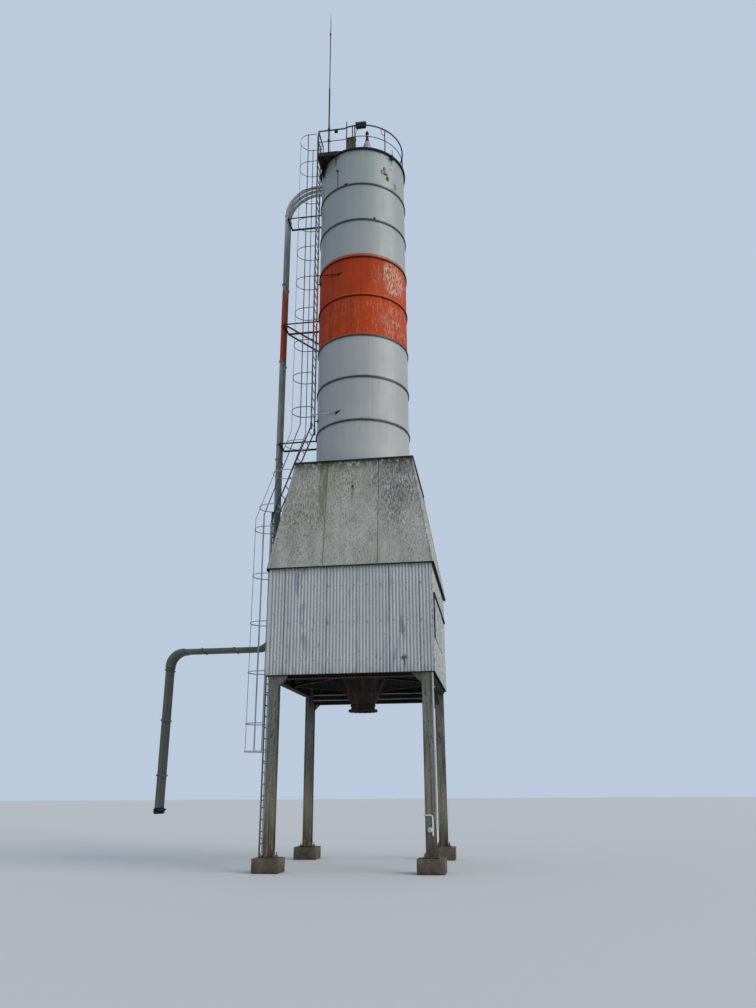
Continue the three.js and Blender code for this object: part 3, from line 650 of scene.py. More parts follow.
def hood_sheet():
    finish = Finish("hood_sheet", (0.470, 0.452, 0.405), 0.85, shine=0.2)
    finish.down_slopes()
    finish.layer((0.32, 0.312, 0.265), finish.noise(0.9, 0.5, 0.35, 0.65))
    finish.layer((0.47, 0.46, 0.42), finish.noise(2.6, 0.8, 0.52, 0.72, shift=(2, 3, 1)), 0.7)
    slope = finish.along("Z", 7.6, 10.9)
    everywhere = finish.math("ADD", finish.times(slope, 0.35), 0.55)
    clouds = finish.noise(1.9, 0.9, 0.42, 0.62, detail=5, shift=(5, 2, 8))
    dashes = finish.noise(25.0, 8.0, 0.50, 0.57, shift=(1, 6, 3), roughness=0.70)
    finish.layer((0.075, 0.073, 0.058), dashes, clouds, everywhere)
    veil = finish.noise(24.0, 6.0, 0.48, 0.60, shift=(8, 2, 3), roughness=0.70)
    finish.layer((0.15, 0.147, 0.12), veil, 0.30)
    small = finish.noise(34.0, 17.0, 0.575, 0.625, detail=4, shift=(7, 7, 2))
    finish.layer((0.045, 0.043, 0.034), small, 0.75)
    pale = finish.noise(30.0, 8.0, 0.60, 0.67, detail=4, shift=(2, 9, 5))
    finish.layer((0.56, 0.55, 0.51), pale, 0.5)
    shade = finish.noise(3.6, 0.7, 0.46, 0.70, shift=(3, 3, 4))
    finish.layer((0.17, 0.168, 0.14), shade, 0.42)
    wiped = finish.between(finish.patch(1.42, 9.75, 0.95, 0.95), 0.10, 0.32, 0.08)
    wiped = finish.times(wiped, finish.along("Z", 9.4, 9.9), finish.along("X", AXIS_X + 0.5, AXIS_X + 0.8))
    finish.layer((0.46, 0.45, 0.41), wiped, 0.6)
    top = finish.along("Z", 9.3, 11.1)
    fall = finish.noise(15.0, 1.6, 0.48, 0.60, detail=7, shift=(9, 9, 0), roughness=0.72)
    finish.layer((0.10, 0.095, 0.072), fall, top, 0.38)
    right_top = finish.ramp(finish.patch(1.35, 10.30, 1.05, 2.0), 0.05, 0.6)
    right_runs = finish.noise(23.0, 7.0, 0.45, 0.55, shift=(3, 5, 2), roughness=0.72)
    finish.layer((0.045, 0.045, 0.04), right_runs, right_top, 0.75)
    left_top = finish.ramp(finish.patch(-1.45, 9.6, 0.85, 2.2), 0.03, 0.45)
    finish.layer((0.070, 0.070, 0.052), right_runs, left_top, 0.45)
    moss_strip = finish.between(finish.axis("X"), AXIS_X - 0.97, AXIS_X - 0.80, 0.06)
    moss_fall = finish.along("Z", 8.7, 9.9)
    moss = finish.times(moss_strip, moss_fall, finish.noise(16.0, 1.6, 0.36, 0.54))
    finish.layer((0.135, 0.122, 0.058), moss, 0.80)
    rim = finish.times(finish.along("Z", 10.80, 11.18), finish.noise(8.0, 5.0, 0.40, 0.50, detail=7))
    finish.layer((0.030, 0.028, 0.020), rim, 0.9)
    below_bolt = finish.patch(0.01, 10.25, 0.06, 0.55)
    finish.layer(SOOT, below_bolt, finish.noise(20.0, 4.0, 0.35, 0.6), 0.8)
    finish.roughen(40.0, 0.002, 0.5)
    finish.bump(finish.noise(5.0, 5.0, 0.3, 0.7, detail=3), 0.004, 0.3)
    return finish.done()


def cladding_sheet():
    finish = Finish("cladding_sheet", (0.485, 0.490, 0.470), 0.5, shine=0.35)
    finish.layer((0.42, 0.43, 0.42), finish.noise(0.9, 0.6, 0.35, 0.65))
    finish.layer((0.54, 0.545, 0.53), finish.noise(3.5, 0.30, 0.5, 0.8, shift=(1, 2, 3)), 0.7)
    depth = finish.math("ABSOLUTE", finish.math("SUBTRACT", finish.axis("Y"), AXIS_Y))
    long_wall = finish.ramp(depth, 2.292, 2.298)
    side_wall = finish.math("SUBTRACT", 1.0, long_wall)
    # Painted shade: the valleys between the ribs are painted darker, where shade falls in them
    painted_valley_shade = finish.most(finish.valleys("X", AXIS_X, FRONT_SHEETS, long_wall),
                         finish.valleys("Y", AXIS_Y, SIDE_SHEETS, side_wall))
    finish.layer((0.25, 0.26, 0.26), painted_valley_shade, 0.40)
    front = finish.along("Y", 0.30, 0.0)
    smears = finish.noise(4.2, 0.8, 0.56, 0.66, detail=7, shift=(4.1, 0, 2))
    thirds = finish.most(finish.near(finish.axis("X"), AXIS_X - 1.35, 0.85),
                         finish.near(finish.axis("X"), AXIS_X + 1.45, 0.8), 0.25)
    finish.layer((0.17, 0.195, 0.235), smears, thirds, 0.85)
    soot_runs = finish.noise(12.0, 0.6, 0.60, 0.70, roughness=0.65)
    finish.layer((0.13, 0.135, 0.14), soot_runs, 0.6)
    dabs = finish.noise(12.0, 4.5, 0.64, 0.69, detail=4, shift=(8, 8, 1))
    finish.layer((0.12, 0.13, 0.14), dabs, front, 0.7)
    pitch = FRONT_SHEETS / RIBS
    along = finish.math("SUBTRACT", finish.axis("X"), AXIS_X - FRONT_SHEETS / 2 + 2.5 * pitch)
    cell = finish.math("FRACT", finish.math("DIVIDE", along, 4 * pitch))
    at_screw = finish.math("MINIMUM", cell, finish.math("SUBTRACT", 1.0, cell))
    column = finish.ramp(at_screw, 0.12, 0.02)
    rows = [finish.between(finish.axis("Z"), level - 0.05, level + 0.01, 0.03) for level in SCREW_ROWS]
    some = finish.noise(2.6, 2.6, 0.50, 0.62, shift=(3, 3, 3))
    finish.layer((0.12, 0.125, 0.13), column, finish.most(*rows), some, front, 0.6)
    laps = [finish.near(finish.axis("X"), AXIS_X + x, 0.026) for x in (-1.83, -0.64, 0.22, 1.09, 1.92)]
    lap_dirt = finish.times(finish.most(*laps), finish.noise(3.0, 1.3, 0.26, 0.52, shift=(8, 1, 3)), front)
    finish.layer((0.10, 0.11, 0.12), lap_dirt, 0.85)
    blot = finish.times(finish.patch(1.47, 5.23, 0.11, 0.12), finish.noise(18.0, 12.0, 0.36, 0.50))
    drip = finish.times(finish.patch(1.50, 5.06, 0.03, 0.22), finish.noise(20.0, 9.0, 0.35, 0.55))
    finish.layer((0.035, 0.035, 0.035), finish.ramp(finish.most(blot, drip), 0.1, 0.4), front, 0.9)
    right = finish.along("X", AXIS_X + 2.22, AXIS_X + 2.27)
    finish.layer((0.36, 0.365, 0.34), right, 0.7)
    speckle = finish.noise(16.0, 8.0, 0.53, 0.59, shift=(2, 4, 9), roughness=0.66)
    finish.layer((0.075, 0.07, 0.055), right, speckle, 0.85)
    foot = finish.times(finish.along("Z", 5.15, 4.86), finish.noise(6.0, 2.0, 0.42, 0.62))
    finish.layer((0.20, 0.195, 0.165), foot, 0.6)
    spots = finish.noise(9.0, 9.0, 0.72, 0.74, detail=4, shift=(3, 7, 1))
    finish.layer(RUST, spots, 0.6)
    # Painted shade: faces that look into the box are painted near black, for the shade inside it
    finish.layer((0.035, 0.034, 0.032), finish.inwards(), 0.9)
    finish.gloss(finish.noise(4.0, 1.0, 0.3, 0.7), 0.42, 0.62)
    finish.bump(finish.noise(30.0, 4.0, 0.3, 0.7), 0.001, 0.4)
    return finish.done()


def column_paint():
    finish = Finish("column_paint", (0.130, 0.138, 0.112), 0.7, shine=0.25)
    finish.layer((0.205, 0.205, 0.168), finish.noise(2.4, 0.5, 0.44, 0.66))
    beige = finish.along("Z", 2.9, 2.3)
    finish.layer((0.215, 0.185, 0.130), beige, finish.noise(2.6, 0.5, 0.28, 0.5), 0.85)
    pale = finish.noise(11.0, 0.8, 0.60, 0.70, detail=5, shift=(4, 3, 6))
    finish.layer((0.29, 0.285, 0.245), pale, 0.6)
    runs = finish.noise(16.0, 0.50, 0.48, 0.62, shift=(2, 8, 1), roughness=0.66)
    finish.layer((0.045, 0.043, 0.032), runs, 0.8)
    specks = finish.noise(18.0, 6.0, 0.58, 0.64, detail=5, shift=(5, 1, 2))
    finish.layer((0.038, 0.037, 0.027), specks, finish.along("Z", 1.6, 3.0), 0.85)
    rust = finish.noise(9.0, 0.9, 0.58, 0.70, detail=7, roughness=0.68)
    finish.layer((0.105, 0.052, 0.024), rust, 0.75)
    pits = finish.noise(22.0, 9.0, 0.62, 0.67, detail=5, shift=(1, 6, 2))
    finish.layer(DARK_RUST, pits, 0.8)
    foot = finish.times(finish.along("Z", 1.35, 0.35), finish.noise(7.0, 2.4, 0.34, 0.54))
    finish.layer((0.050, 0.033, 0.020), foot)
    head = finish.times(finish.along("Z", 4.25, 4.85), finish.noise(6.0, 1.5, 0.36, 0.60))
    finish.layer((0.045, 0.042, 0.031), head, 0.7)
    finish.bump(rust, 0.002, 0.5)
    finish.bump(pits, 0.001, 0.4)
    return finish.done()


def frame_paint():
    # Near-black frame paint: partly the frame's own dark paint, partly painted shade for the shade under the
    # box
    finish = Finish("frame_paint", (0.026, 0.023, 0.020), 0.85, shine=0.15)
    finish.layer((0.048, 0.038, 0.030), finish.noise(2.0, 2.0, 0.4, 0.65))
    finish.layer((0.085, 0.042, 0.022), finish.noise(7.0, 4.0, 0.58, 0.70, detail=8), 0.6)
    finish.layer((0.15, 0.135, 0.105), finish.noise(5.0, 5.0, 0.68, 0.75, shift=(4, 4, 4)), 0.5)
    finish.roughen(25.0, 0.002, 0.5)
    return finish.done()


def rusted_plate():
    finish = Finish("rusted_plate", (0.040, 0.029, 0.023), 0.9, shine=0.12)
    finish.layer((0.078, 0.050, 0.036), finish.noise(5.0, 0.9, 0.46, 0.64))
    finish.layer((0.025, 0.017, 0.013), finish.noise(7.0, 0.9, 0.50, 0.66, detail=8, shift=(3, 1, 2)))
    finish.layer((0.18, 0.155, 0.13), finish.noise(9.0, 2.0, 0.64, 0.72, shift=(8, 1, 4)), 0.5)
    finish.bump(finish.noise(24.0, 24.0, 0.3, 0.7, detail=8), 0.004, 0.6)
    return finish.done()


def weathered_steel(name, colour, rust_share, roughness, metallic, shine=0.4):
    finish = Finish(name, colour, roughness, metallic, shine)
    dim = tuple(value * 0.6 for value in colour)
    finish.layer(dim, finish.noise(3.0, 1.2, 0.4, 0.62))
    rust = finish.noise(12.0, 5.0, 0.72 - rust_share, 0.78 - rust_share, detail=8, shift=(2, 6, 3))
    finish.layer(RUST, rust, 0.85)
    finish.gloss(finish.noise(8.0, 3.0, 0.35, 0.65), roughness - 0.1, roughness + 0.2)
    finish.roughen(70.0, 0.001, 0.4)
    finish.bump(rust, 0.0006, 0.5)
    return finish.done()


def banded_ladder_steel():
    """Steel of the ladder, with the reach beside the orange courses brushed in dull red."""
    finish = Finish("banded_ladder_steel", (0.085, 0.092, 0.10), 0.55, 0.2, 0.3)
    finish.layer((0.055, 0.060, 0.066), finish.noise(3.0, 1.2, 0.4, 0.62))
    share = finish.between(finish.axis("Z"), BAND_LOW + 0.35, BAND_HIGH + 0.05, 0.03)
    finish.layer((0.20, 0.022, 0.030), share, finish.noise(3.0, 2.0, 0.22, 0.42), 0.9)
    finish.layer(RUST, finish.noise(12.0, 5.0, 0.66, 0.72, detail=8, shift=(2, 6, 3)), 0.8)
    finish.roughen(70.0, 0.001, 0.4)
    return finish.done()


def pipe_paint():
    finish = Finish("pipe_paint", (0.205, 0.225, 0.205), 0.5, 0.05, 0.35)
    finish.layer((0.145, 0.16, 0.15), finish.noise(3.0, 0.8, 0.4, 0.64))
    finish.layer((0.28, 0.29, 0.265), finish.noise(8.0, 0.5, 0.55, 0.75, shift=(2, 2, 2)), 0.8)
    low = finish.along("Z", 6.6, 5.6)
    finish.layer((0.074, 0.076, 0.060), low, 0.85)
    # Painted highlight: the pipes and their bends near the top are painted paler where they catch the sky's
    # light
    high = finish.along("Z", 20.0, 21.6)
    finish.layer((0.47, 0.475, 0.455), high, 0.8)
    band = finish.between(finish.axis("Z"), BAND_LOW + 0.03, BAND_HIGH - 0.25, 0.02)
    finish.layer((0.27, 0.034, 0.010), band)
    finish.layer(RUST, finish.noise(14.0, 6.0, 0.63, 0.70, detail=8, shift=(5, 3, 1)), 0.70)
    finish.layer(GRIME, finish.noise(18.0, 0.8, 0.55, 0.68, detail=5), 0.6)
    finish.gloss(finish.noise(6.0, 2.0, 0.3, 0.7), 0.42, 0.65)
    finish.roughen(60.0, 0.001, 0.4)
    return finish.done()


def concrete():
    finish = Finish("concrete", (0.120, 0.102, 0.072), 0.95)
    finish.layer((0.078, 0.064, 0.042), finish.noise(3.0, 3.0, 0.42, 0.62, detail=8))
    finish.layer((0.22, 0.20, 0.155), finish.noise(9.0, 9.0, 0.56, 0.72, shift=(4, 4, 1)), 0.7)
    mud = finish.times(finish.along("Z", 0.26, 0.02), finish.noise(6.0, 6.0, 0.3, 0.55))
    finish.layer((0.060, 0.040, 0.023), mud)
    finish.bump(finish.noise(28.0, 28.0, 0.25, 0.75, detail=10), 0.008, 0.7)
    return finish.done()


# Weathered steels: colour, share of rust, roughness, metal, and shine where it isn't 0.4
STEELS = {
    "hood_cap_sheet": ((0.028, 0.027, 0.025), 0.04, 0.75, 0.0, 0.2),
    "ladder_steel": ((0.115, 0.125, 0.13), 0.06, 0.55, 0.2, 0.3),
    "cage_steel": ((0.060, 0.068, 0.075), 0.06, 0.6, 0.1, 0.3),
    "railing_steel": ((0.050, 0.048, 0.047), 0.10, 0.6, 0.1, 0.25),
    "pale_paint": ((0.43, 0.435, 0.41), 0.07, 0.5, 0.0),
    "white_paint": ((0.74, 0.74, 0.72), 0.04, 0.5, 0.0),
    "bracket_paint": ((0.15, 0.030, 0.012), 0.10, 0.7, 0.0, 0.2),
    "dark_steel": ((0.016, 0.016, 0.017), 0.05, 0.7, 0.0, 0.2),
    "landing_steel": ((0.040, 0.036, 0.029), 0.12, 0.8, 0.0, 0.2),
    "galvanised_pipe": ((0.24, 0.255, 0.26), 0.05, 0.45, 0.4),
    "fitting_paint": ((0.13, 0.098, 0.055), 0.12, 0.7, 0.0),
    "coupling_rubber": ((0.02, 0.02, 0.022), 0.0, 0.7, 0.0, 0.2),
}
FINISHES = {
    "shell_paint": shell_paint(),
    "orange_paint": orange_paint(),
    "hood_sheet": hood_sheet(),
    "cladding_sheet": cladding_sheet(),
    "column_paint": column_paint(),
    "frame_paint": frame_paint(),
    "rusted_plate": rusted_plate(),
    "pipe_paint": pipe_paint(),
    "concrete": concrete(),
    "banded_ladder_steel": banded_ladder_steel(),
    **{name: weathered_steel(name, *look) for name, look in STEELS.items()},
}
SLOTS = {part["node"]: part["material_slot"] for part in frame["record"]["subparts"]}


def dress_frame():
    """Gives the solids that stay in sight their finishes."""
    for name, piece in frame["nodes"].items():
        slot = "hood_cap_sheet" if name.startswith("hood_") else SLOTS[name]
        piece.data.materials.clear()
        piece.data.materials.append(FINISHES[slot])


# Silo shell: plate courses between bolted flange joints, with their weld seams
def flange_joint(top):
    """Two flanges with a gap between them, below the top of a course."""
    rim = SILO_RADIUS + 0.034
    gap = SILO_RADIUS + 0.014
    return [(SILO_RADIUS, top - 0.054), (rim, top - 0.054), (rim, top - 0.031), (gap, top - 0.029),
            (gap, top - 0.025), (rim, top - 0.023), (rim, top), (SILO_RADIUS, top)]


def weld_seam(low, high, degrees):
    place = on_ring(SILO_RADIUS + 0.0005, degrees)
    return Line((*place, low)).to((*place, high)).tube(0.0025, 6)


def shell_length(name, first, last, high, slot, node):
    inner = SILO_RADIUS - 0.01
    low = HOOD_TOP + first * COURSE
    profile = [(inner, low), (SILO_RADIUS, low)]
    pieces = []
    for course in range(first, last):
        top = HOOD_TOP + (course + 1) * COURSE
        profile += flange_joint(top)
        pieces.append(ringed(peg((SILO_RADIUS + 0.022, 0.0, top - 0.027), 0.0105, 0.074, 6), 40))
        for side in (0, 180):
            pieces.append(weld_seam(top - COURSE, top - 0.054, 64 + 47 * course + side))
    if high > profile[-1][1]:
        profile.append((SILO_RADIUS, high))
    profile += [(inner, high), (inner, low)]
    dressed(name, [turned(profile), *pieces], slot, node)


def make_shell():
    shell_length("shell_lower_courses", 0, 3, BAND_LOW, "shell_paint", "shell_lower")
    shell_length("shell_orange_courses", 3, 5, BAND_HIGH, "orange_paint", "shell_band")
    shell_length("shell_upper_courses", 5, 7, ROOF_LEVEL, "shell_paint", "shell_upper")
    plate = turned([(0.0, 23.201), (1.545, 23.201), (1.545, 23.229), (0.0, 23.231)])
    dressed("roof_sheet", plate, "shell_paint", "roof_plate")
    rim = turned([(1.5, 23.165), (1.556, 23.165), (1.56, 23.17), (1.56, 23.23), (1.55, 23.235),
                  (1.545, 23.19), (1.5, 23.185), (1.5, 23.165)])
    dressed("roof_rim", rim, "dark_steel")
    collar = turned([(1.5, 11.2), (1.56, 11.2), (1.552, 11.232), (1.515, 11.25), (1.5, 11.25), (1.5, 11.2)])
    dressed("hood_collar", collar, "hood_cap_sheet")


# Hood: three boards to a side on the leaning frame, hip angles and flashings
def displaced(piece, size, strength, **settings):
    """Uneven faces, by clouds of a size."""
    clouds = bpy.data.textures.new("uneven", "CLOUDS")
    clouds.noise_scale = size
    return applied(piece, "DISPLACE", texture=clouds, texture_coords="LOCAL", strength=strength, **settings)


def board(low_ends, high_ends, half_depth):
    """A board on the front slope, between two places along its foot and two along its head."""
    proud = 0.015
    thick = 0.009
    rise = HOOD_TOP - BOX_HIGH
    lean = half_depth - HOOD_TOP_HALF
    length = math.hypot(rise, lean)
    out = Vector((0.0, -rise / length, lean / length))
    foot = BOX_HIGH + 0.002
    corners = [(low_ends[0], -half_depth, foot), (low_ends[1], -half_depth, foot),
               (high_ends[1], -HOOD_TOP_HALF, HOOD_TOP), (high_ends[0], -HOOD_TOP_HALF, HOOD_TOP)]
    flat_outline([Vector(corner) + out * proud for corner in corners])
    bpy.ops.mesh.subdivide(number_cuts=7)
    return displaced(pulled_out(-out * thick), 0.9, 0.006, direction="Y", mid_level=0.5)


def screw_heads(places, degrees, radius=0.011):
    """Round heads that face forwards, turned to their side of the tower."""
    model = level_peg("X", CENTRE, radius, 0.008, 8)
    heads = [copied(model, place) for place in places]
    bpy.data.objects.remove(model)
    return turned_to(gathered(*heads), degrees)


def hood_side(name, half_width, half_depth, low_joints, high_joints, degrees):
    """Dresses one side with its boards, and returns the heads of its screws."""
    gap = 0.007
    low = [-half_width, *low_joints, half_width]
    high = [-HOOD_TOP_HALF, *high_joints, HOOD_TOP_HALF]
    boards = []
    screws = []
    for index in range(3):
        low_ends = (low[index] + gap, low[index + 1] - gap)
        high_ends = (high[index] + gap, high[index + 1] - gap)
        boards.append(board(low_ends, high_ends, half_depth))
        for share in (0.04, 0.27, 0.5, 0.73, 0.96):
            y = -half_depth + share * (half_depth - HOOD_TOP_HALF) - 0.016
            z = BOX_HIGH + share * (HOOD_TOP - BOX_HIGH)
            for across in (0.04, 0.5, 0.96):
                x_low = low_ends[0] + across * (low_ends[1] - low_ends[0])
                x_high = high_ends[0] + across * (high_ends[1] - high_ends[0])
                screws.append((x_low + share * (x_high - x_low), y, z))
    dressed(name, turned_to(gathered(*boards), degrees), "hood_sheet")
    return screw_heads(screws, degrees)


def make_hood():
    front_joints = ((-0.76, 0.79), (-0.77, 0.76))
    side_joints = ((-0.80, 0.80), (-0.60, 0.60))
    heads = [
        hood_side("hood_front_boards", HOOD_HALF_WIDTH, HOOD_HALF_DEPTH, *front_joints, 0),
        hood_side("hood_right_boards", HOOD_HALF_DEPTH, HOOD_HALF_WIDTH, *side_joints, 90),
        hood_side("hood_rear_boards", HOOD_HALF_WIDTH, HOOD_HALF_DEPTH, *side_joints, 180),
        hood_side("hood_left_boards", HOOD_HALF_DEPTH, HOOD_HALF_WIDTH, *side_joints, 270),
    ]
    heads.append(moved(level_peg("X", CENTRE, 0.032, 0.03, 6), (0.006, -1.938, 10.31)))
    dressed("hood_screws", heads, "dark_steel")
    hip_section = [(-0.035, -0.012), (0.035, -0.012), (0.035, 0.010), (0.0, 0.024), (-0.035, 0.010)]
    hips = []
    for sx, sy in CORNERS:
        foot = (sx * HOOD_HALF_WIDTH, sy * HOOD_HALF_DEPTH, BOX_HIGH + 0.004)
        head = (sx * HOOD_TOP_HALF, sy * HOOD_TOP_HALF, HOOD_TOP)
        hips.append(rolled(foot, head, hip_section, up=(sx, sy, 0.0)))
    dressed("hood_hip_angles", hips, "hood_sheet")
    half = 0.012
    top = HOOD_TOP_HALF + 0.035
    flashings = []
    # Near-black drip edge round the eave: a flashing, made black and deeper at the sides as painted shade
    # under the hood's overhang
    drips_and_eave_shade = []
    for side in (-1, 1):
        x = side * top
        flashings.append(slab((x - half, -top, 11.185), (x + half, top, 11.236)))
        x = side * (HOOD_HALF_WIDTH + half)
        drips_and_eave_shade.append(slab((x - half, -HOOD_HALF_DEPTH, 7.745), (x + half, HOOD_HALF_DEPTH, 7.815)))
    for side in (-1, 1):
        y = side * top
        flashings.append(slab((-top, y - half, 11.192), (top, y + half, 11.236)))
        y = side * (HOOD_HALF_DEPTH + half)
        drips_and_eave_shade.append(slab((-HOOD_HALF_WIDTH, y - half, 7.775), (HOOD_HALF_WIDTH, y + half, 7.812)))
    dressed("hood_top_flashing", flashings, "hood_cap_sheet")
    dressed("hood_drip_edge_and_eave_shade", drips_and_eave_shade, "dark_steel")


# Clad box: profiled sheets, corner angles, screws and the sliding hatch on the right
def ribbed_wall(width):
    deep = 0.024
    pitch = width / RIBS
    rising = [(0.0, 1.0), (0.14, 1.0), (0.20, 0.85), (0.30, 0.1), (0.36, 0.0)]
    falling = [(0.64, 0.0), (0.70, 0.1), (0.80, 0.85), (0.86, 1.0), (1.0, 1.0)]
    points = [(-width / 2 + part * pitch, deep * depth, BOX_LOW) for part, depth in rising + falling]
    Line(points[0]).to(*points[1:])
    take_all()
    pull((0.0, 0.0, BOX_HIGH - 0.002 - BOX_LOW))
    wall = repeated(close_mesh(), RIBS, (pitch, 0.0, 0.0), use_merge_vertices=True)
    return applied(wall, "SOLIDIFY", thickness=0.0012, offset=0.0)


def clad_wall(name, width, half_depth, degrees, node):
    """Dresses one wall, and returns the heads of its screws."""
    wall = moved(ribbed_wall(width), (0.0, -half_depth, 0.0))
    dressed(name, turned_to(wall, degrees), "cladding_sheet", node, smooth=50)
    pitch = width / RIBS
    first = -width / 2 + 2.5 * pitch
    places = [(first + 4 * pitch * step, -half_depth - 0.003, row)
              for row in SCREW_ROWS for step in range(RIBS // 4)]
    return screw_heads(places, degrees, 0.013)


def make_cladding():
    heads = [
        clad_wall("front_ribbed_sheets", FRONT_SHEETS, BOX_HALF_DEPTH, 0, "front_cladding"),
        clad_wall("right_ribbed_sheets", SIDE_SHEETS, BOX_HALF_WIDTH, 90, "right_cladding"),
        clad_wall("rear_ribbed_sheets", FRONT_SHEETS, BOX_HALF_DEPTH, 180, "rear_cladding"),
        clad_wall("left_ribbed_sheets", SIDE_SHEETS, BOX_HALF_WIDTH, 270, "left_cladding"),
    ]
    dressed("cladding_screws", heads, "dark_steel", finish="ladder_steel")
    leg = 0.07
    half = 0.001
    corners = []
    for sx, sy in CORNERS:
        x = sx * (BOX_HALF_WIDTH + 0.002)
        y = sy * (BOX_HALF_DEPTH + 0.002)
        left, right = sorted((x, x - sx * leg))
        front, back = sorted((y, y - sy * leg))
        corners.append(slab((left, y - half, BOX_LOW), (right, y + half, 7.79), 0.0005))
        corners.append(slab((x - half, front, BOX_LOW), (x + half, back, 7.79), 0.0005))
    dressed("cladding_corners", corners, "cladding_sheet")
    sides = (((-2.282, -2.334), (2.282, -2.300)), ((-2.282, 2.300), (2.282, 2.334)),
             ((-2.284, -2.334), (-2.250, 2.334)), ((2.250, -2.334), (2.284, 2.334)))
    sills = [slab((*low, 4.835), (*high, 4.856)) for low, high in sides]
    dressed("cladding_drip_edge", sills, "dark_steel")
    face = BOX_HALF_WIDTH
    rails = [slab((face - 0.002, -2.02, 6.96), (face + 0.045, 2.2, 7.03)),
             slab((face - 0.002, -2.03, 5.78), (face + 0.035, -1.97, 6.97))]
    dressed("side_hatch_frame", rails, "dark_steel")
    leaf = [slab((face, -1.96, 5.80), (face + 0.016, 0.87, 6.95))]
    for y in (-1.4, -0.85, -0.25, 0.35):
        leaf.append(slab((face + 0.012, y - 0.02, 5.82), (face + 0.024, y + 0.02, 6.93)))
    dressed("side_hatch_leaf", leaf, "cladding_sheet")


# Columns: plinths with broken edges, holding-down bolts and what is clipped to the columns
def rough_block(x, y):
    bpy.ops.object.select_all(action="DESELECT")
    bpy.ops.mesh.primitive_cube_add(size=1.0, location=(x, y, 0.175), scale=(0.70, 0.70, 0.35))
    settle()
    open_mesh()
    chamfer(0.018, 2)
    bpy.ops.mesh.subdivide(number_cuts=5)
    block = close_mesh()
    for size, strength in ((0.35, 0.028), (0.07, 0.012)):
        displaced(block, size, strength, mid_level=0.75)
    open_mesh(block)
    bpy.ops.mesh.bisect(plane_co=(0.0, 0.0, 0.001), plane_no=(0.0, 0.0, -1.0), clear_outer=True,
                        use_fill=True)
    return close_mesh()


def make_feet():
    reach = 0.165
    bolts = []
    for end, sy in (("front", -1), ("rear", 1)):
        for side, sx in (("left", -1), ("right", 1)):
            x = sx * COLUMN_X
            y = sy * COLUMN_Y
            node = f"plinth_{end}_{side}"
            dressed(f"plinth_block_{end}_{side}", rough_block(x, y), "concrete", node, smooth=45)
            for dx in (-reach, reach):
                for dy in (-reach, reach):
                    bolts.append(bolt((x + dx, y + dy, 0.375), 0.022))
                    bolts.append(peg((x + dx, y + dy, 0.42), 0.011, 0.09, 10))
    dressed("anchor_bolts", bolts, "ladder_steel")


def clip(x, y, z, radius):
    """A saddle clip round an upright tube in front of a column."""
    ring = turned(band(radius, radius + 0.004, z - 0.014, z + 0.014), 16, (x, y))
    reach = radius + 0.028
    front = y + radius * 0.2
    return gathered(ring, slab((x - reach, front, z - 0.014), (x + reach, front + 0.004, z + 0.014), FINE))


def make_column_fittings():
    x = COLUMN_X + COLUMN_HALF + 0.0253
    y = -COLUMN_Y - 0.12
    conduit = [Line((x, y, 1.0)).to((x, y, 4.849)).tube(0.025)]
    conduit += [clip(x, y, z, 0.0255) for z in (1.25, 2.05, 2.85, 3.65, 4.45)]
    dressed("right_conduit", conduit, "galvanised_pipe", "column_conduit", finish="pale_paint")
    x = -COLUMN_X - 0.15
    cables = [Line((x, y, 0.45)).to((x, y, 4.84)).tube(0.0125, 10),
              Line((x + 0.03, y - 0.01, 1.9)).to((x + 0.03, y - 0.01, 4.84)).tube(0.008, 8)]
    cables += [clip(x, y, z, 0.013) for z in (0.8, 1.7, 2.6, 3.5, 4.4)]
    dressed("left_conduit", cables, "galvanised_pipe")
    front = -COLUMN_Y - COLUMN_HALF - 0.03
    stand_x, stand_top, bend = 2.12, 1.33, 0.05
    stand = Line((1.90, front, stand_top)).to((stand_x - bend, front, stand_top))
    stand.turn((stand_x - bend, front, stand_top - bend), FORWARDS, 90, 6).to((stand_x, front, 0.86))
    tap = [stand.tube(0.018, 10)]
    wheel = tipped(turned(band(0.036, 0.058, -0.008, 0.008), 20), "X", 90)
    tap.append(moved(wheel, (2.05, front - 0.03, 1.0)))
    tap.append(slab((2.03, front - 0.025, 0.98), (2.135, front + 0.03, 1.02)))
    dressed("column_tap", tap, "pale_paint", finish="white_paint")


# Floor, deck and bracing under the box: rolled sections with end plates and stiffeners
def beam(aside, low, high, end, deep=False):
    """A beam with stiffeners across the box or, where deep is true, from its front to its back."""
    def at(along, off, level):
        return (aside + off, along, level) if deep else (along, aside + off, level)

    middle = (low + high) / 2
    section = i_section(0.2, high - low, 0.016, 0.010)
    pieces = [rolled(at(-end, 0.0, middle), at(end, 0.0, middle), section)]
    for place in (-end + 0.006, -1.0, 0.0, 1.0, end - 0.006):
        corner = at(place - 0.005, -0.095, low + 0.014)
        pieces.append(slab(corner, at(place + 0.005, 0.095, high - 0.014), FINE))
    return gathered(*pieces)


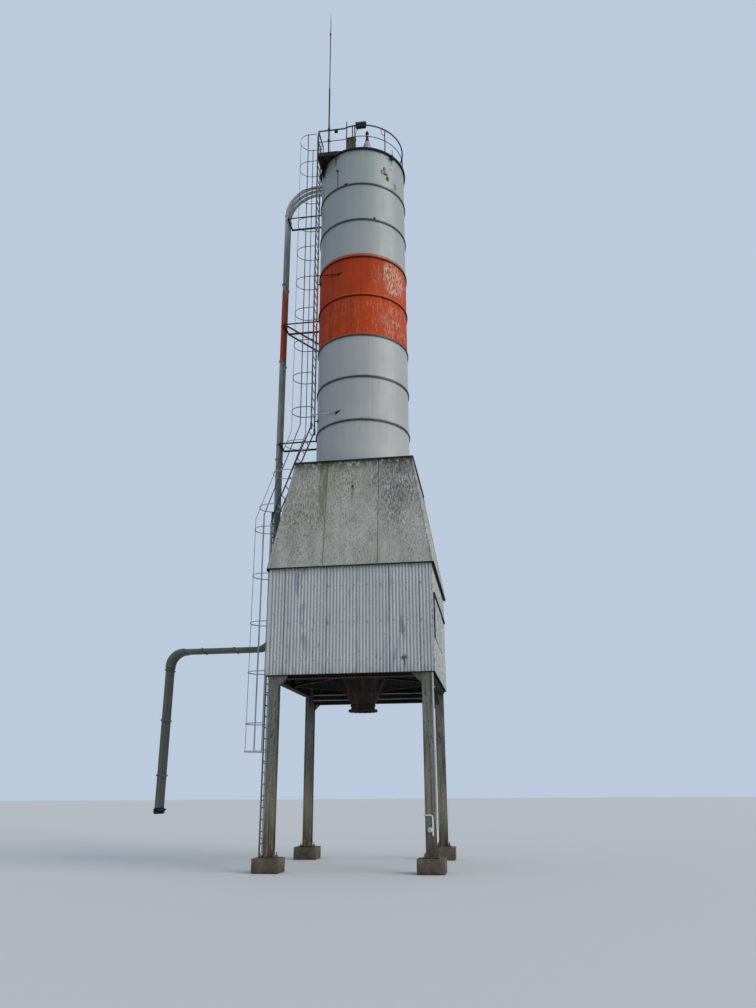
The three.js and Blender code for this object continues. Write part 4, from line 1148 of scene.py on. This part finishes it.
def make_floor():
    floor = (4.75, 5.05)
    across_end = COLUMN_X - 0.0065
    deep_end = COLUMN_Y - 0.1303
    side = BOX_HALF_WIDTH - 0.04 - 0.1003
    beams = {
        "front": beam(-COLUMN_Y, *floor, across_end),
        "rear": beam(COLUMN_Y, 4.5, 4.849, across_end),
        "left": beam(-side, *floor, deep_end, deep=True),
        "right": beam(side, *floor, deep_end, deep=True),
    }
    for place, piece in beams.items():
        dressed(f"{place}_floor_beam", piece, "frame_paint", f"floor_beam_{place}")
    low = 6.5 - 0.0003 - 0.04 - 0.3003
    deck = [beam(y, low, low + 0.3, across_end) for y in (-COLUMN_Y, COLUMN_Y)]
    deck += [beam(x, low, low + 0.3, COLUMN_X, deep=True) for x in (-1.55, 1.55)]
    dressed("deck_beam_frame", deck, "frame_paint", "deck_beams")
    x = side - 0.09
    y = COLUMN_Y - 0.09
    corners = [(x, 0.0), (0.0, y), (-x, 0.0), (0.0, -y)]
    bars = []
    for (x0, y0), end in zip(corners, corners[1:] + corners[:1]):
        bars.append(rolled((x0, y0, 4.815), (*end, 4.815), angle_section(0.075, 0.008)))
        bars.append(slab((x0 - 0.11, y0 - 0.11, 4.803), (x0 + 0.11, y0 + 0.11, 4.813)))
    dressed("floor_bracing_bars", bars, "frame_paint", "floor_bracing")
    rear = COLUMN_Y - COLUMN_HALF
    tubes = [Line((-1.92, rear, z)).to((1.92, rear, z)).tube(0.025) for z in (4.63, 4.79)]
    dressed("rear_tubes", tubes, "galvanised_pipe")
    face = -COLUMN_Y - 0.104
    haunch = [(0.0, 4.846), (-0.27, 4.846), (-0.25, 4.80), (-0.03, 4.60), (0.0, 4.60)]
    plates = []
    screws = []
    for sx in (-1, 1):
        outline = [(sx * (COLUMN_X - COLUMN_HALF) + sx * inward, face, z) for inward, z in haunch]
        plates.append(extruded(outline, (0.0, -0.012, 0.0), FINE))
        screws += [(sx * (COLUMN_X - 0.06), -COLUMN_Y - 0.016, z) for z in (4.52, 4.62)]
    dressed("haunch_plates", plates, "column_paint")
    dressed("haunch_bolts", screw_heads(screws, 0, 0.018), "ladder_steel")


def make_cone():
    low, top = 4.2303, 6.46
    narrow, wide = 0.34, 1.39
    deck = 6.4997
    slope = (wide - narrow) / (top - low)
    wall = turned([(0.33, low), (narrow, low), (wide, top), (wide, deck), (1.38, deck), (1.38, top),
                   (0.33, low)], 72)
    inner = narrow + slope * 0.35
    rib = extruded([(inner, -0.005, low + 0.35), (inner + 0.06, -0.005, low + 0.35),
                    (1.385, -0.005, top - 0.11), (1.385, -0.005, top - 0.02)], (0.0, 0.01, 0.0), FINE)
    level = 5.35
    radius = narrow + slope * (level - low)
    hoop_plate = turned(band(radius, radius + 0.07, level, level + 0.012), 72)
    seam = turned_to(Line((0.345, 0.0, low + 0.01)).to((wide, 0.0, top)).tube(0.005, 6), 20)
    plates = [wall, ringed(rib, 12), hoop_plate, ringed(seam, 3)]
    dressed("cone_plate", plates, "rusted_plate", "discharge_cone")
    neck = turned([(0.33, 4.06), (0.42, 4.06), (0.42, 4.08), (0.355, 4.084), (0.355, 4.09), (0.42, 4.094),
                   (0.42, 4.114), (0.345, 4.118), (0.345, 4.215), (0.37, 4.22), (0.37, 4.232), (0.33, 4.232),
                   (0.33, 4.06)], 72)
    studs = ringed(peg((0.388, 0.0, 4.087), 0.011, 0.085, 6), 16)
    dressed("outlet_flanges", [neck, studs], "rusted_plate", "outlet_neck")


# Ladder with its hooped cage: stringers, rungs, arms, hoops and bars follow one line
def lean_share(z):
    """How far up the leaning part of the ladder a level is, from 0 to 1."""
    return min(1.0, max(0.0, (z - BEND_LOW) / (BEND_HIGH - BEND_LOW)))


def ladder_x(z):
    return LADDER_X_LOW + lean_share(z) * (LADDER_X_HIGH - LADDER_X_LOW)


def cage_straight(z):
    """Length of the straight sides of a hoop."""
    return CAGE_REACH_LOW + lean_share(z) * (CAGE_REACH_HIGH - CAGE_REACH_LOW) - CAGE_HALF


def strip(low, high, width, y, thick, reach=0.0, follow=0.0):
    """A flat bar along the ladder's line, set off to its left by reach and by a share of the hoops' sides."""
    x0 = ladder_x(low) - reach - follow * cage_straight(low)
    x1 = ladder_x(high) - reach - follow * cage_straight(high)
    half = width / 2
    front = y - thick / 2
    points = [(x0 - half, front, low), (x0 + half, front, low), (x1 + half, front, high),
              (x1 - half, front, high)]
    return extruded(points, (0.0, thick, 0.0), 0.0015)


def rungs(low, high):
    first = math.ceil((low + 0.08) / RUNG_PITCH) * RUNG_PITCH
    count = int((high - 0.08 - first) / RUNG_PITCH) + 1
    x = ladder_x(first)
    rung = Line((x, LADDER_Y - LADDER_HALF, first)).to((x, LADDER_Y + LADDER_HALF, first)).tube(0.019, 10)
    return repeated(rung, count, (ladder_x(first + RUNG_PITCH) - x, 0.0, RUNG_PITCH))


def stringers(low, high):
    return [strip(low, high, 0.046, LADDER_Y + side * LADDER_HALF, 0.012) for side in (-1, 1)]


def make_ladders():
    face = -BOX_HALF_WIDTH
    lower = stringers(0.0, BEND_LOW)
    for level in (5.2, 7.4):
        for side in (-1, 1):
            y = LADDER_Y + side * (LADDER_HALF + 0.012)
            lower.append(rolled((LADDER_X_LOW - 0.02, y, level + 0.035), (face, y, level + 0.035),
                                bar_section(0.006, 0.035), FINE))
            lower.append(slab((face - 0.008, y - 0.05, level - 0.03), (face, y + 0.05, level + 0.10), FINE))
    for side in (-1, 1):
        y = LADDER_Y + side * LADDER_HALF
        lower.append(slab((LADDER_X_LOW - 0.06, y - 0.04, 0.0), (LADDER_X_LOW + 0.06, y + 0.04, 0.010), FINE))
    dressed("ladder_lower_stringers", lower, "ladder_steel", "ladder_lower")
    dressed("ladder_lower_rungs", rungs(0.0, BEND_LOW), "ladder_steel")
    incline = stringers(BEND_LOW, BEND_HIGH)
    for level in (BEND_LOW, BEND_HIGH):
        x = ladder_x(level)
        for side in (-1, 1):
            y = LADDER_Y + side * (LADDER_HALF + 0.009)
            corner = (x - 0.035, y - 0.004, level - 0.12)
            incline.append(slab(corner, (x + 0.035, y + 0.004, level + 0.12), FINE))
    dressed("ladder_incline_stringers", incline, "ladder_steel", "ladder_incline", finish="cage_steel")
    dressed("ladder_incline_rungs", rungs(BEND_LOW, BEND_HIGH), "pale_paint", finish="white_paint")
    upper = stringers(BEND_HIGH, LADDER_TOP)
    dressed("ladder_upper_stringers", upper, "ladder_steel", "ladder_upper", finish="banded_ladder_steel")
    dressed("ladder_upper_rungs", rungs(BEND_HIGH, LADDER_TOP), "pale_paint", finish="white_paint")
    ladder_holds("lower", 13.15, 13.05, "pale_paint")
    ladder_holds("upper", 18.35, 18.145, "orange_paint")


def ladder_holds(name, level, shell_level, finish):
    """A long stay from the near stringer to the shell's front, and a short arm from the far one."""
    near_y = LADDER_Y - LADDER_HALF - 0.02
    far_y = LADDER_Y + LADDER_HALF + 0.02
    start_x = LADDER_X_HIGH - 0.015
    section = bar_section(0.006, 0.018)
    end = Vector((-0.65, -1.349, shell_level))
    stay = rolled((start_x, near_y, level), end, section, FINE)
    dressed(f"ladder_stay_{name}", stay, "ladder_steel", finish=finish)
    outwards = Vector((end.x, end.y, 0.0)).normalized()
    shell_way = Vector((end.y, -end.x, 0.0)).normalized()
    rise = Vector((0.0, 0.0, 0.02))
    gusset = [end + rise, end - shell_way * 0.20 + rise, end + Vector((0.0, 0.0, -0.10))]
    holds = [extruded(gusset, outwards * 0.014, FINE),
             rolled((start_x, far_y, level), (-1.370, far_y, level), section, FINE),
             slab((-1.39, far_y - 0.05, level - 0.06), (-1.355, far_y + 0.05, level + 0.06), FINE)]
    dressed(f"ladder_arms_{name}", holds, "ladder_steel", finish="dark_steel")


def hoop(z):
    """A flat hoop from stringer to stringer, with a bolt where each bar crosses it."""
    x = ladder_x(z)
    straight = cage_straight(z)
    y = LADDER_Y
    low = z - HOOP_HEIGHT / 2
    line = Line((x, y + LADDER_HALF + 0.008, low))
    line.to((x, y + CAGE_HALF, low), (x - straight, y + CAGE_HALF, low))
    line.turn((x - straight, y, low), UPWARDS, 180, 20)
    line.to((x, y - CAGE_HALF, low), (x, y - LADDER_HALF - 0.008, low))
    take_all()
    pull((0.0, 0.0, HOOP_HEIGHT))
    pieces = [applied(close_mesh(), "SOLIDIFY", thickness=0.007, offset=0.0)]
    inside = CAGE_HALF - 0.009
    crossings = ((-straight, -inside, -90), (-straight - inside, 0.0, 180), (-straight, inside, 90))
    for dx, dy, outward in crossings:
        place = (x + dx, y + dy, z)
        pieces.append(tipped(level_peg("Y", place, 0.008, 0.03, 6), "Z", outward, place))
    return gathered(*pieces)


def side_bar(low, high, side, width=0.030):
    """An upright bar of the cage, where the straight side of the hoops ends."""
    return strip(low, high, width, LADDER_Y + side * (CAGE_HALF - 0.009), 0.009, follow=1.0)


def outer_bar(low, high):
    return strip(low, high, 0.009, LADDER_Y, 0.022, reach=CAGE_HALF - 0.009, follow=1.0)


def make_cages():
    count = int((TOP_HOOP - BEND_HIGH - 0.05) / HOOP_PITCH) + 1
    hoops = repeated(hoop(TOP_HOOP), count, (0.0, 0.0, -HOOP_PITCH))
    dressed("cage_upper_hoops", hoops, "ladder_steel", "cage_upper", finish="cage_steel")
    upper = (BEND_HIGH, LADDER_TOP)
    dressed("cage_upper_near_bar", side_bar(*upper, -1), "ladder_steel", finish="banded_ladder_steel")
    dressed("cage_upper_far_bar", side_bar(*upper, 1, 0.024), "ladder_steel", finish="cage_steel")
    dressed("cage_upper_outer_bar", outer_bar(*upper), "ladder_steel")
    hoops = [hoop(z) for z in (10.17, 11.27, 12.25)]
    dressed("cage_incline_hoops", hoops, "ladder_steel", "cage_incline", finish="pale_paint")
    leaning = (BEND_LOW, BEND_HIGH)
    bars = [side_bar(*leaning, -1), side_bar(*leaning, 1), outer_bar(*leaning)]
    dressed("cage_incline_bars", bars, "ladder_steel", finish="cage_steel")
    hoops = [hoop(z) for z in (CAGE_LOW, 3.71, 5.14, 6.57, 8.0, 9.46)]
    hoops += [side_bar(CAGE_LOW, BEND_LOW, -1, 0.044), side_bar(CAGE_LOW, BEND_LOW, 1)]
    dressed("cage_lower_hoops", hoops, "pale_paint", "cage_lower")
    dressed("cage_lower_outer_bar", outer_bar(CAGE_LOW, BEND_LOW), "pale_paint", finish="cage_steel")


# Roof: landing, round railing, lightning rod and the fittings along the front
def make_landing():
    left, right, front = -1.41, -0.66, -1.42
    under = ROOF_LEVEL - 0.06
    top = ROOF_LEVEL - 0.006
    half = 0.004
    outline = [(left, front), (right, front), (right, -1.36), (-0.98, -1.20), (-1.36, -0.76), (left, -0.62),
               (left, -0.60)]
    pieces = [extruded([(x, y, ROOF_LEVEL - 0.008) for x, y in outline], (0.0, 0.0, 0.008))]
    for y, end in ((front + 0.004, right), (front + 0.25, -0.98)):
        pieces.append(slab((left, y - half, under), (end, y + half, top), FINE))
    for x, back in ((left + 0.004, -0.62), (-1.2, -0.98), (-0.95, -1.25), (right - 0.004, -1.25)):
        pieces.append(slab((x - half, front + 0.004, under), (x + half, back, top), FINE))
    for x, back in ((-1.32, -0.70), (-0.76, -1.30)):
        side = x - 0.006
        points = [(side, front + 0.02, ROOF_LEVEL - 0.02), (side, front + 0.02, ROOF_LEVEL - 0.12),
                  (side, back, ROOF_LEVEL - 0.49), (side, back, ROOF_LEVEL - 0.02)]
        pieces.append(extruded(points, (0.012, 0.0, 0.0), FINE))
    for end in ((right, front + 0.005), (left + 0.005, -0.62)):
        pieces.append(slab((left, front, ROOF_LEVEL), (*end, ROOF_LEVEL + 0.10), FINE))
    dressed("landing_plates", pieces, "dark_steel", "landing", finish="landing_steel")


def rail_radius(height):
    """The top rail is thicker than the lower ones."""
    return RAIL_RADIUS if height == RAIL_HEIGHTS[-1] else THIN_RAIL_RADIUS


def rail_arcs(first, last):
    arcs = []
    for height in RAIL_HEIGHTS:
        level = ROOF_LEVEL + height
        line = Line((*on_ring(RAILING_RADIUS, first), level))
        line.turn((0.0, 0.0, level), UPWARDS, last - first, round((last - first) / 4))
        arcs.append(line.tube(rail_radius(height)))
    return arcs


def railing_post(degrees, top=ROOF_LEVEL + 1.1):
    place = on_ring(RAILING_RADIUS, degrees)
    shaft = Line((*place, 23.231)).to((*place, top)).tube(POST_RADIUS)
    foot = [slab((RAILING_RADIUS - 0.06, -0.045, 23.229), (RAILING_RADIUS + 0.05, 0.045, 23.239), FINE)]
    foot += [bolt((RAILING_RADIUS - 0.04, dy, 23.239), 0.009) for dy in (-0.03, 0.03)]
    return gathered(shaft, turned_to(gathered(*foot), degrees))


def make_railings():
    gate = -105.5
    front = rail_arcs(gate, 44.0)
    front.append(railing_post(-104.0, 24.55))
    front += [railing_post(degrees) for degrees in (-95.3, -92.0, -48.5, 0.0, 41.0)]
    dressed("roof_railing_front", front, "ladder_steel", "railing_front", finish="railing_steel")
    rear = rail_arcs(45.2, 194.0)
    rear += [railing_post(degrees) for degrees in (48, 78, 105, 132, 160, 191)]
    dressed("roof_railing_rear", rear, "ladder_steel", "railing_rear", finish="railing_steel")
    y, back = -1.39, -0.62
    left = -1.385
    right = on_ring(RAILING_RADIUS, gate)[0] - 0.01
    rails = []
    for height in RAIL_HEIGHTS:
        level = ROOF_LEVEL + height
        for end in ((right, y), (left, back)):
            rails.append(Line((left, y, level)).to((*end, level)).tube(rail_radius(height)))
    for post_y, radius in ((y, 0.021), (back, POST_RADIUS)):
        rails.append(Line((left, post_y, 23.2)).to((left, post_y, 24.3)).tube(radius))
    dressed("landing_railing", rails, "ladder_steel", "railing_landing", finish="railing_steel")


def make_lightning_rod():
    x = -1.0
    y = -1.39 - 0.021 - 0.0263
    profile = [(0.0, 23.26), (0.026, 23.26), (0.026, 26.19), (0.022, 26.20), (0.017, 26.23), (0.017, 28.84),
               (0.030, 28.86), (0.030, 28.93), (0.014, 28.96), (0.011, 29.4), (0.007, 29.9), (0.0, 30.0)]
    pieces = [turned(profile, 16, (x, y))]
    for level in (23.8, 24.3):
        for front, back in ((-0.034, -0.026), (0.062, 0.07)):
            corner = (x - 0.045, y + front, level - 0.022)
            pieces.append(slab(corner, (x + 0.045, y + back, level + 0.022), FINE))
        for dx in (-0.036, 0.036):
            pieces.append(level_peg("X", (x + dx, y + 0.018, level), 0.006, 0.12, 6))
    wire = Line((x + 0.02, y, 24.6)).to((x + 0.05, y + 0.02, 23.9), (x + 0.06, y + 0.03, 23.3))
    pieces.append(wire.tube(0.005, 8))
    dressed("lightning_rod_tube", pieces, "dark_steel", "lightning_rod")


def make_vent():
    place = (0.35, -1.2)

    def spun(pairs, steps):
        return turned([(radius, ROOF_FACE + height) for radius, height in pairs], steps, place)

    bell = spun([(0.0, 0.0), (0.19, 0.0), (0.19, 0.02), (0.178, 0.025), (0.172, 0.14), (0.160, 0.23),
                 (0.132, 0.34), (0.098, 0.44), (0.070, 0.53), (0.056, 0.60), (0.0, 0.61)], 40)
    collar = spun([(0.0, 0.74), (0.050, 0.74), (0.056, 0.75), (0.056, 0.79), (0.050, 0.80), (0.0, 0.80)], 32)
    lugs = []
    for degrees in (0, 90, 180, 270):
        lug = slab((0.52, -1.22, ROOF_FACE), (0.565, -1.18, ROOF_FACE + 0.02), FINE)
        lugs.append(tipped(lug, "Z", degrees, (*place, ROOF_FACE)))
    dressed("vent_bell", [bell, collar, *lugs], "fitting_paint", "vent_cone", finish="pale_paint")
    cowl = spun([(0.0, 0.52), (0.078, 0.52), (0.080, 0.53), (0.062, 0.61), (0.046, 0.65), (0.044, 0.84),
                 (0.060, 0.86), (0.062, 0.89), (0.056, 0.93), (0.036, 0.98), (0.014, 1.02), (0.0, 1.03)], 32)
    dressed("vent_cowl", cowl, "fitting_paint", finish="dark_steel")


def make_junction_box():
    base = ROOF_FACE
    box = [slab((-0.395, -1.24, base), (-0.075, -1.09, base + 0.76), 0.006),
           slab((-0.41, -1.255, base + 0.755), (-0.06, -1.075, base + 0.785), 0.004),
           slab((-0.375, -1.252, base + 0.05), (-0.095, -1.238, base + 0.72), 0.004)]
    for z in (base + 0.15, base + 0.62):
        box.append(Line((-0.385, -1.25, z - 0.03)).to((-0.385, -1.25, z + 0.03)).tube(0.008, 8))
    box.append(slab((-0.125, -1.262, base + 0.34), (-0.108, -1.25, base + 0.44), 0.002))
    dressed("junction_box_door", box, "fitting_paint", "junction_box")
    cables = [Line((x, -1.16, base + 0.01)).to((x, -1.16, base - 0.02)).tube(0.014, 8)
              for x in (-0.32, -0.235, -0.15)]
    route = ((-0.06, -1.30, base + 0.8), (-0.02, -1.38, base + 0.86), (0.05, -1.45, base + 0.9))
    cables.append(Line((-0.1, -1.25, base + 0.7)).to(*route).tube(0.009, 8))
    dressed("junction_cable", cables, "coupling_rubber")


def make_lamp():
    back = -1.478
    lamp = [slab((0.0, back - 0.11, 24.10), (0.36, back, 24.305), 0.012)]
    for step in range(7):
        x = 0.03 + step * 0.05
        lamp.append(slab((x - 0.004, back - 0.10, 24.300), (x + 0.004, back - 0.01, 24.314), FINE))
    lamp.append(slab((-0.012, back - 0.128, 24.296), (0.372, back - 0.108, 24.314), 0.002))
    for x in (-0.008, 0.368):
        lamp.append(slab((x - 0.006, back - 0.08, 24.14), (x + 0.006, back - 0.04, 24.318), FINE))
    lamp.append(slab((0.14, back - 0.02, 24.22), (0.22, back + 0.06, 24.30)))
    lamp.append(peg((0.18, back - 0.055, 24.085), 0.016, 0.045, 12))
    dressed("lamp_housing", lamp, "dark_steel", "lamp_box")
    under = slab((0.02, back - 0.10, 24.092), (0.34, back - 0.01, 24.104), 0.002)
    dressed("lamp_glass", under, "dark_steel", finish="coupling_rubber")


def make_rim_fittings():
    """A lug and a block on the roof's rim, and what hangs on the railing."""
    x, y = on_ring(1.57, -38.5)
    side = x - 0.02
    lug = extruded([(side, y - 0.07, 23.18), (side, y + 0.07, 23.18), (side, y + 0.05, 23.36),
                    (side, y - 0.02, 23.44), (side, y - 0.06, 23.40)], (0.03, 0.0, 0.0), EDGE)
    dressed("rim_lug", lug, "pale_paint")
    tail = Line((x - 0.02, y - 0.03, 23.06)).to((x - 0.03, y - 0.03, 22.93), (x - 0.045, y - 0.02, 22.80))
    tail = tail.tube(0.008, 8)
    block = slab((x - 0.05, y - 0.10, 23.05), (x + 0.025, y + 0.07, 23.165), 0.006)
    dressed("rim_block", [block, tail], "dark_steel")
    x, y = on_ring(RAILING_RADIUS, -52.0)
    hook = Line((x, y - 0.03, 24.33)).to((x - 0.05, y - 0.05, 24.20), (x - 0.03, y - 0.04, 24.05),
                                         (x + 0.05, y, 23.98), (x + 0.08, y + 0.02, 24.12)).tube(0.010, 8)
    small_box = slab((-0.80, -1.45, 24.14), (-0.68, -1.38, 24.25), 0.006)
    dressed("rail_hooks", [hook, small_box], "dark_steel")


def shell_stub(degrees, level, radius, reach, sides=16):
    """A round stub that stands out of the shell, with a flange at its end."""
    stub = turned([(0.0, -0.01), (radius * 0.7, -0.01), (radius * 0.7, reach * 0.6), (radius, reach * 0.6),
                   (radius, reach), (radius * 0.55, reach), (0.0, reach * 0.8)], sides)
    return turned_to(moved(tipped(stub, "Y", 90), (SILO_RADIUS, 0.0, level)), degrees)


def make_shell_fittings():
    probe_degrees = -116.4
    place = on_ring(SILO_RADIUS + 0.018, probe_degrees)
    probe = [shell_stub(probe_degrees, 22.45, 0.034, 0.07),
             Line((*place, 22.43)).to((*place, 21.76)).tube(0.007, 8)]
    for degrees, level in ((-102.3, 21.735), (-65.5, 20.25), (-104.6, 21.735)):
        corner = (SILO_RADIUS - 0.002, -0.028, level - 0.024)
        clamp = slab(corner, (SILO_RADIUS + 0.04, 0.028, level + 0.024), 0.005)
        probe.append(turned_to(clamp, degrees))
    dressed("level_probe", probe, "dark_steel", finish="landing_steel")
    dressed("landing_stub", shell_stub(-140.3, 23.08, 0.075, 0.12, 20), "dark_steel")


# Fill pipes with their bends, flanges, clamps and couplings
def pipe_ring(x, y, z, radius, height):
    return turned([(PIPE_RADIUS, z), (radius - 0.003, z), (radius, z + 0.003), (radius, z + height - 0.003),
                   (radius - 0.003, z + height), (PIPE_RADIUS, z + height), (PIPE_RADIUS, z)], 24, (x, y))


def fill_pipe(y):
    run_bend, neck_bend = 0.45, 1.1
    neck_level = 22.87
    drop_top = PIPE_RUN_LEVEL - run_bend
    line = Line((DROP_X, y, 1.5)).to((DROP_X, y, drop_top))
    line.turn((DROP_X + run_bend, y, drop_top), FORWARDS, 90, 12)
    line.to((RISER_X - run_bend, y, PIPE_RUN_LEVEL))
    line.turn((RISER_X - run_bend, y, PIPE_RUN_LEVEL + run_bend), (0.0, -1.0, 0.0), 90, 12)
    line.to((RISER_X, y, neck_level - neck_bend))
    line.turn((RISER_X + neck_bend, y, neck_level - neck_bend), FORWARDS, 90, 20)
    line.to((-1.47, y, neck_level))
    pieces = [line.tube(PIPE_RADIUS, 20)]
    elbow = Line((DROP_X, y, drop_top - 0.04)).to((DROP_X, y, drop_top))
    elbow.turn((DROP_X + run_bend, y, drop_top), FORWARDS, 90, 12)
    elbow.to((DROP_X + run_bend + 0.04, y, PIPE_RUN_LEVEL))
    pieces.append(elbow.tube(PIPE_RADIUS + 0.018, 20))
    joints = [(DROP_X, 5.38, 0.03)] + [(RISER_X, z, 0.026) for z in (9.4, 12.05, 15.66, 18.74, 21.7)]
    for x, z, proud in joints:
        pieces += [pipe_ring(x, y, level, PIPE_RADIUS + proud, 0.016) for level in (z, z + 0.02)]
        for quarter in range(4):
            stud = peg((x + PIPE_RADIUS + 0.014, y, z + 0.018), 0.006, 0.05, 6)
            pieces.append(tipped(stud, "Z", 45 + 90 * quarter, (x, y, z)))
    collar_x = -1.513
    collar = pipe_ring(collar_x, y, neck_level, PIPE_RADIUS + 0.03, 0.014)
    pieces.append(tipped(collar, "Y", 90, (collar_x, y, neck_level)))
    return gathered(*pieces)


def u_bolt(x, y, z):
    """A bent rod round a pipe, with nuts behind the bar."""
    reach = PIPE_RADIUS + 0.006
    end_x = x + PIPE_RADIUS + 0.065
    line = Line((end_x, y + reach, z)).to((x, y + reach, z)).turn((x, y, z), UPWARDS, 180, 10)
    pieces = [line.to((end_x, y - reach, z)).tube(0.006, 8)]
    for side in (-1, 1):
        pieces.append(level_peg("Y", (x + PIPE_RADIUS + 0.057, y + side * reach, z), 0.011, 0.012, 6))
    return gathered(*pieces)


def make_pipes():
    for name, y in zip(("near", "middle", "far"), PIPE_ROWS):
        dressed(f"fill_pipe_tube_{name}", fill_pipe(y), "pipe_paint", f"fill_pipe_{name}", smooth=40)
    profile = [(0.045, 1.33), (0.066, 1.33), (0.072, 1.336), (0.072, 1.352), (0.062, 1.36), (0.062, 1.395),
               (0.075, 1.405), (0.081, 1.415), (0.081, 1.455), (0.075, 1.465), (0.064, 1.475), (0.064, 1.499),
               (0.045, 1.499), (0.045, 1.33)]
    couplings = []
    for y in PIPE_ROWS:
        couplings.append(turned(profile, 32, (DROP_X, y)))
        for side in (-1, 1):
            x = DROP_X + side * 0.082
            couplings.append(slab((x - 0.006, y - 0.010, 1.36), (x + 0.006, y + 0.010, 1.46), 0.002))
    couplings.append(slab((DROP_X + 0.06, -0.30, 1.415), (DROP_X + 0.09, 0.30, 1.465), 0.002))
    dressed("drop_coupling_rings", couplings, "dark_steel", "drop_couplings")
    offsets = (-PIPE_RADIUS - 0.008, PIPE_RADIUS + 0.002)
    half = 0.27
    ties = []
    for level in (2.35, 3.9):
        for off in offsets:
            ties.append(slab((DROP_X + off, -half, level), (DROP_X + off + 0.006, half, level + 0.05), FINE))
        ties += [level_peg("Y", (DROP_X, y, level + 0.025), 0.007, 0.15, 6) for y in (-0.1, 0.1)]
    for x in (-4.9, -3.9):
        for off in offsets:
            level = PIPE_RUN_LEVEL + off
            ties.append(slab((x - 0.025, -half, level), (x + 0.025, half, level + 0.006), FINE))
        ties += [peg((x, y, PIPE_RUN_LEVEL), 0.007, 0.15, 6) for y in (-0.1, 0.1)]
    dressed("pipe_ties", ties, "ladder_steel")


def bracket_angle(toe):
    """A small angle section, its lower leg's toe to one side."""
    half, inner = 0.025, 0.019
    return [(-half * toe, -half), (half * toe, -half), (half * toe, -inner), (-inner * toe, -inner),
            (-inner * toe, half), (-half * toe, half)]


def make_brackets():
    cross_x = RISER_X + PIPE_RADIUS + 0.0003
    end_x = cross_x + 0.025
    arm_y = 0.33
    shell_x = -math.sqrt(SILO_RADIUS ** 2 - arm_y ** 2)
    brackets = (("low", 12.58, shell_x), ("middle", 17.07, shell_x), ("high", 21.51, shell_x),
                ("wall", 7.30, -BOX_HALF_WIDTH))
    for name, level, wall in brackets:
        bars = []
        for y, toe in ((-arm_y, 1), (arm_y, -1)):
            bars.append(rolled((cross_x, y, level), (wall, y, level), bracket_angle(toe)))
            corner = (wall - 0.01, y - 0.07, level - 0.07)
            bars.append(slab(corner, (wall + 0.002, y + 0.07, level + 0.07), 0.002))
        bars.append(rolled((end_x, -0.34, level), (end_x, 0.34, level), bracket_angle(1)))
        bars += [u_bolt(RISER_X, y, level) for y in PIPE_ROWS]
        slot = "orange_paint" if name == "middle" else "dark_steel"
        dressed(f"pipe_bracket_bars_{name}", bars, slot, f"pipe_bracket_{name}")
        if name == "middle":
            section = bar_section(0.025, 0.025)
            braces = [rolled((end_x, y, level - 0.01), (-1.47, y, level - 0.90), section, EDGE)
                      for y in (-arm_y, arm_y)]
            dressed("pipe_bracket_braces_middle", braces, "dark_steel", finish="bracket_paint")


# Stage, light and surroundings
def light_stage():
    bpy.ops.object.select_all(action="DESELECT")
    bpy.ops.mesh.primitive_plane_add(size=400.0, location=(AXIS_X, AXIS_Y, -0.002))
    floor = bpy.context.object
    floor.name = "studio_floor"
    floor.data.materials.append(Finish("studio_floor_paint", (0.55, 0.54, 0.52), 0.9).done())
    world = bpy.data.worlds.new("studio")
    world.use_nodes = True
    background = world.node_tree.nodes["Background"]
    background.inputs["Color"].default_value = (0.50, 0.59, 0.72, 1.0)
    background.inputs["Strength"].default_value = 1.0
    bpy.context.scene.world = world
    bpy.ops.object.light_add(type="SUN", location=(30, -20, 30))
    sun = bpy.context.object
    sun.data.energy = 1.9
    sun.data.color = (1.0, 0.96, 0.90)
    sun.data.angle = math.radians(45)
    side = math.radians(20)
    towards = Vector((math.cos(side), -math.sin(side), math.tan(math.radians(30))))
    sun.rotation_euler = towards.to_track_quat("Z", "Y").to_euler()
    bpy.context.scene.view_settings.view_transform = "Standard"


place_camera()
dress_frame()
make_shell()
make_hood()
make_cladding()
make_feet()
make_column_fittings()
make_floor()
make_cone()
make_ladders()
make_cages()
make_landing()
make_railings()
make_lightning_rod()
make_vent()
make_junction_box()
make_lamp()
make_rim_fittings()
make_shell_fittings()
make_pipes()
make_brackets()
light_stage()
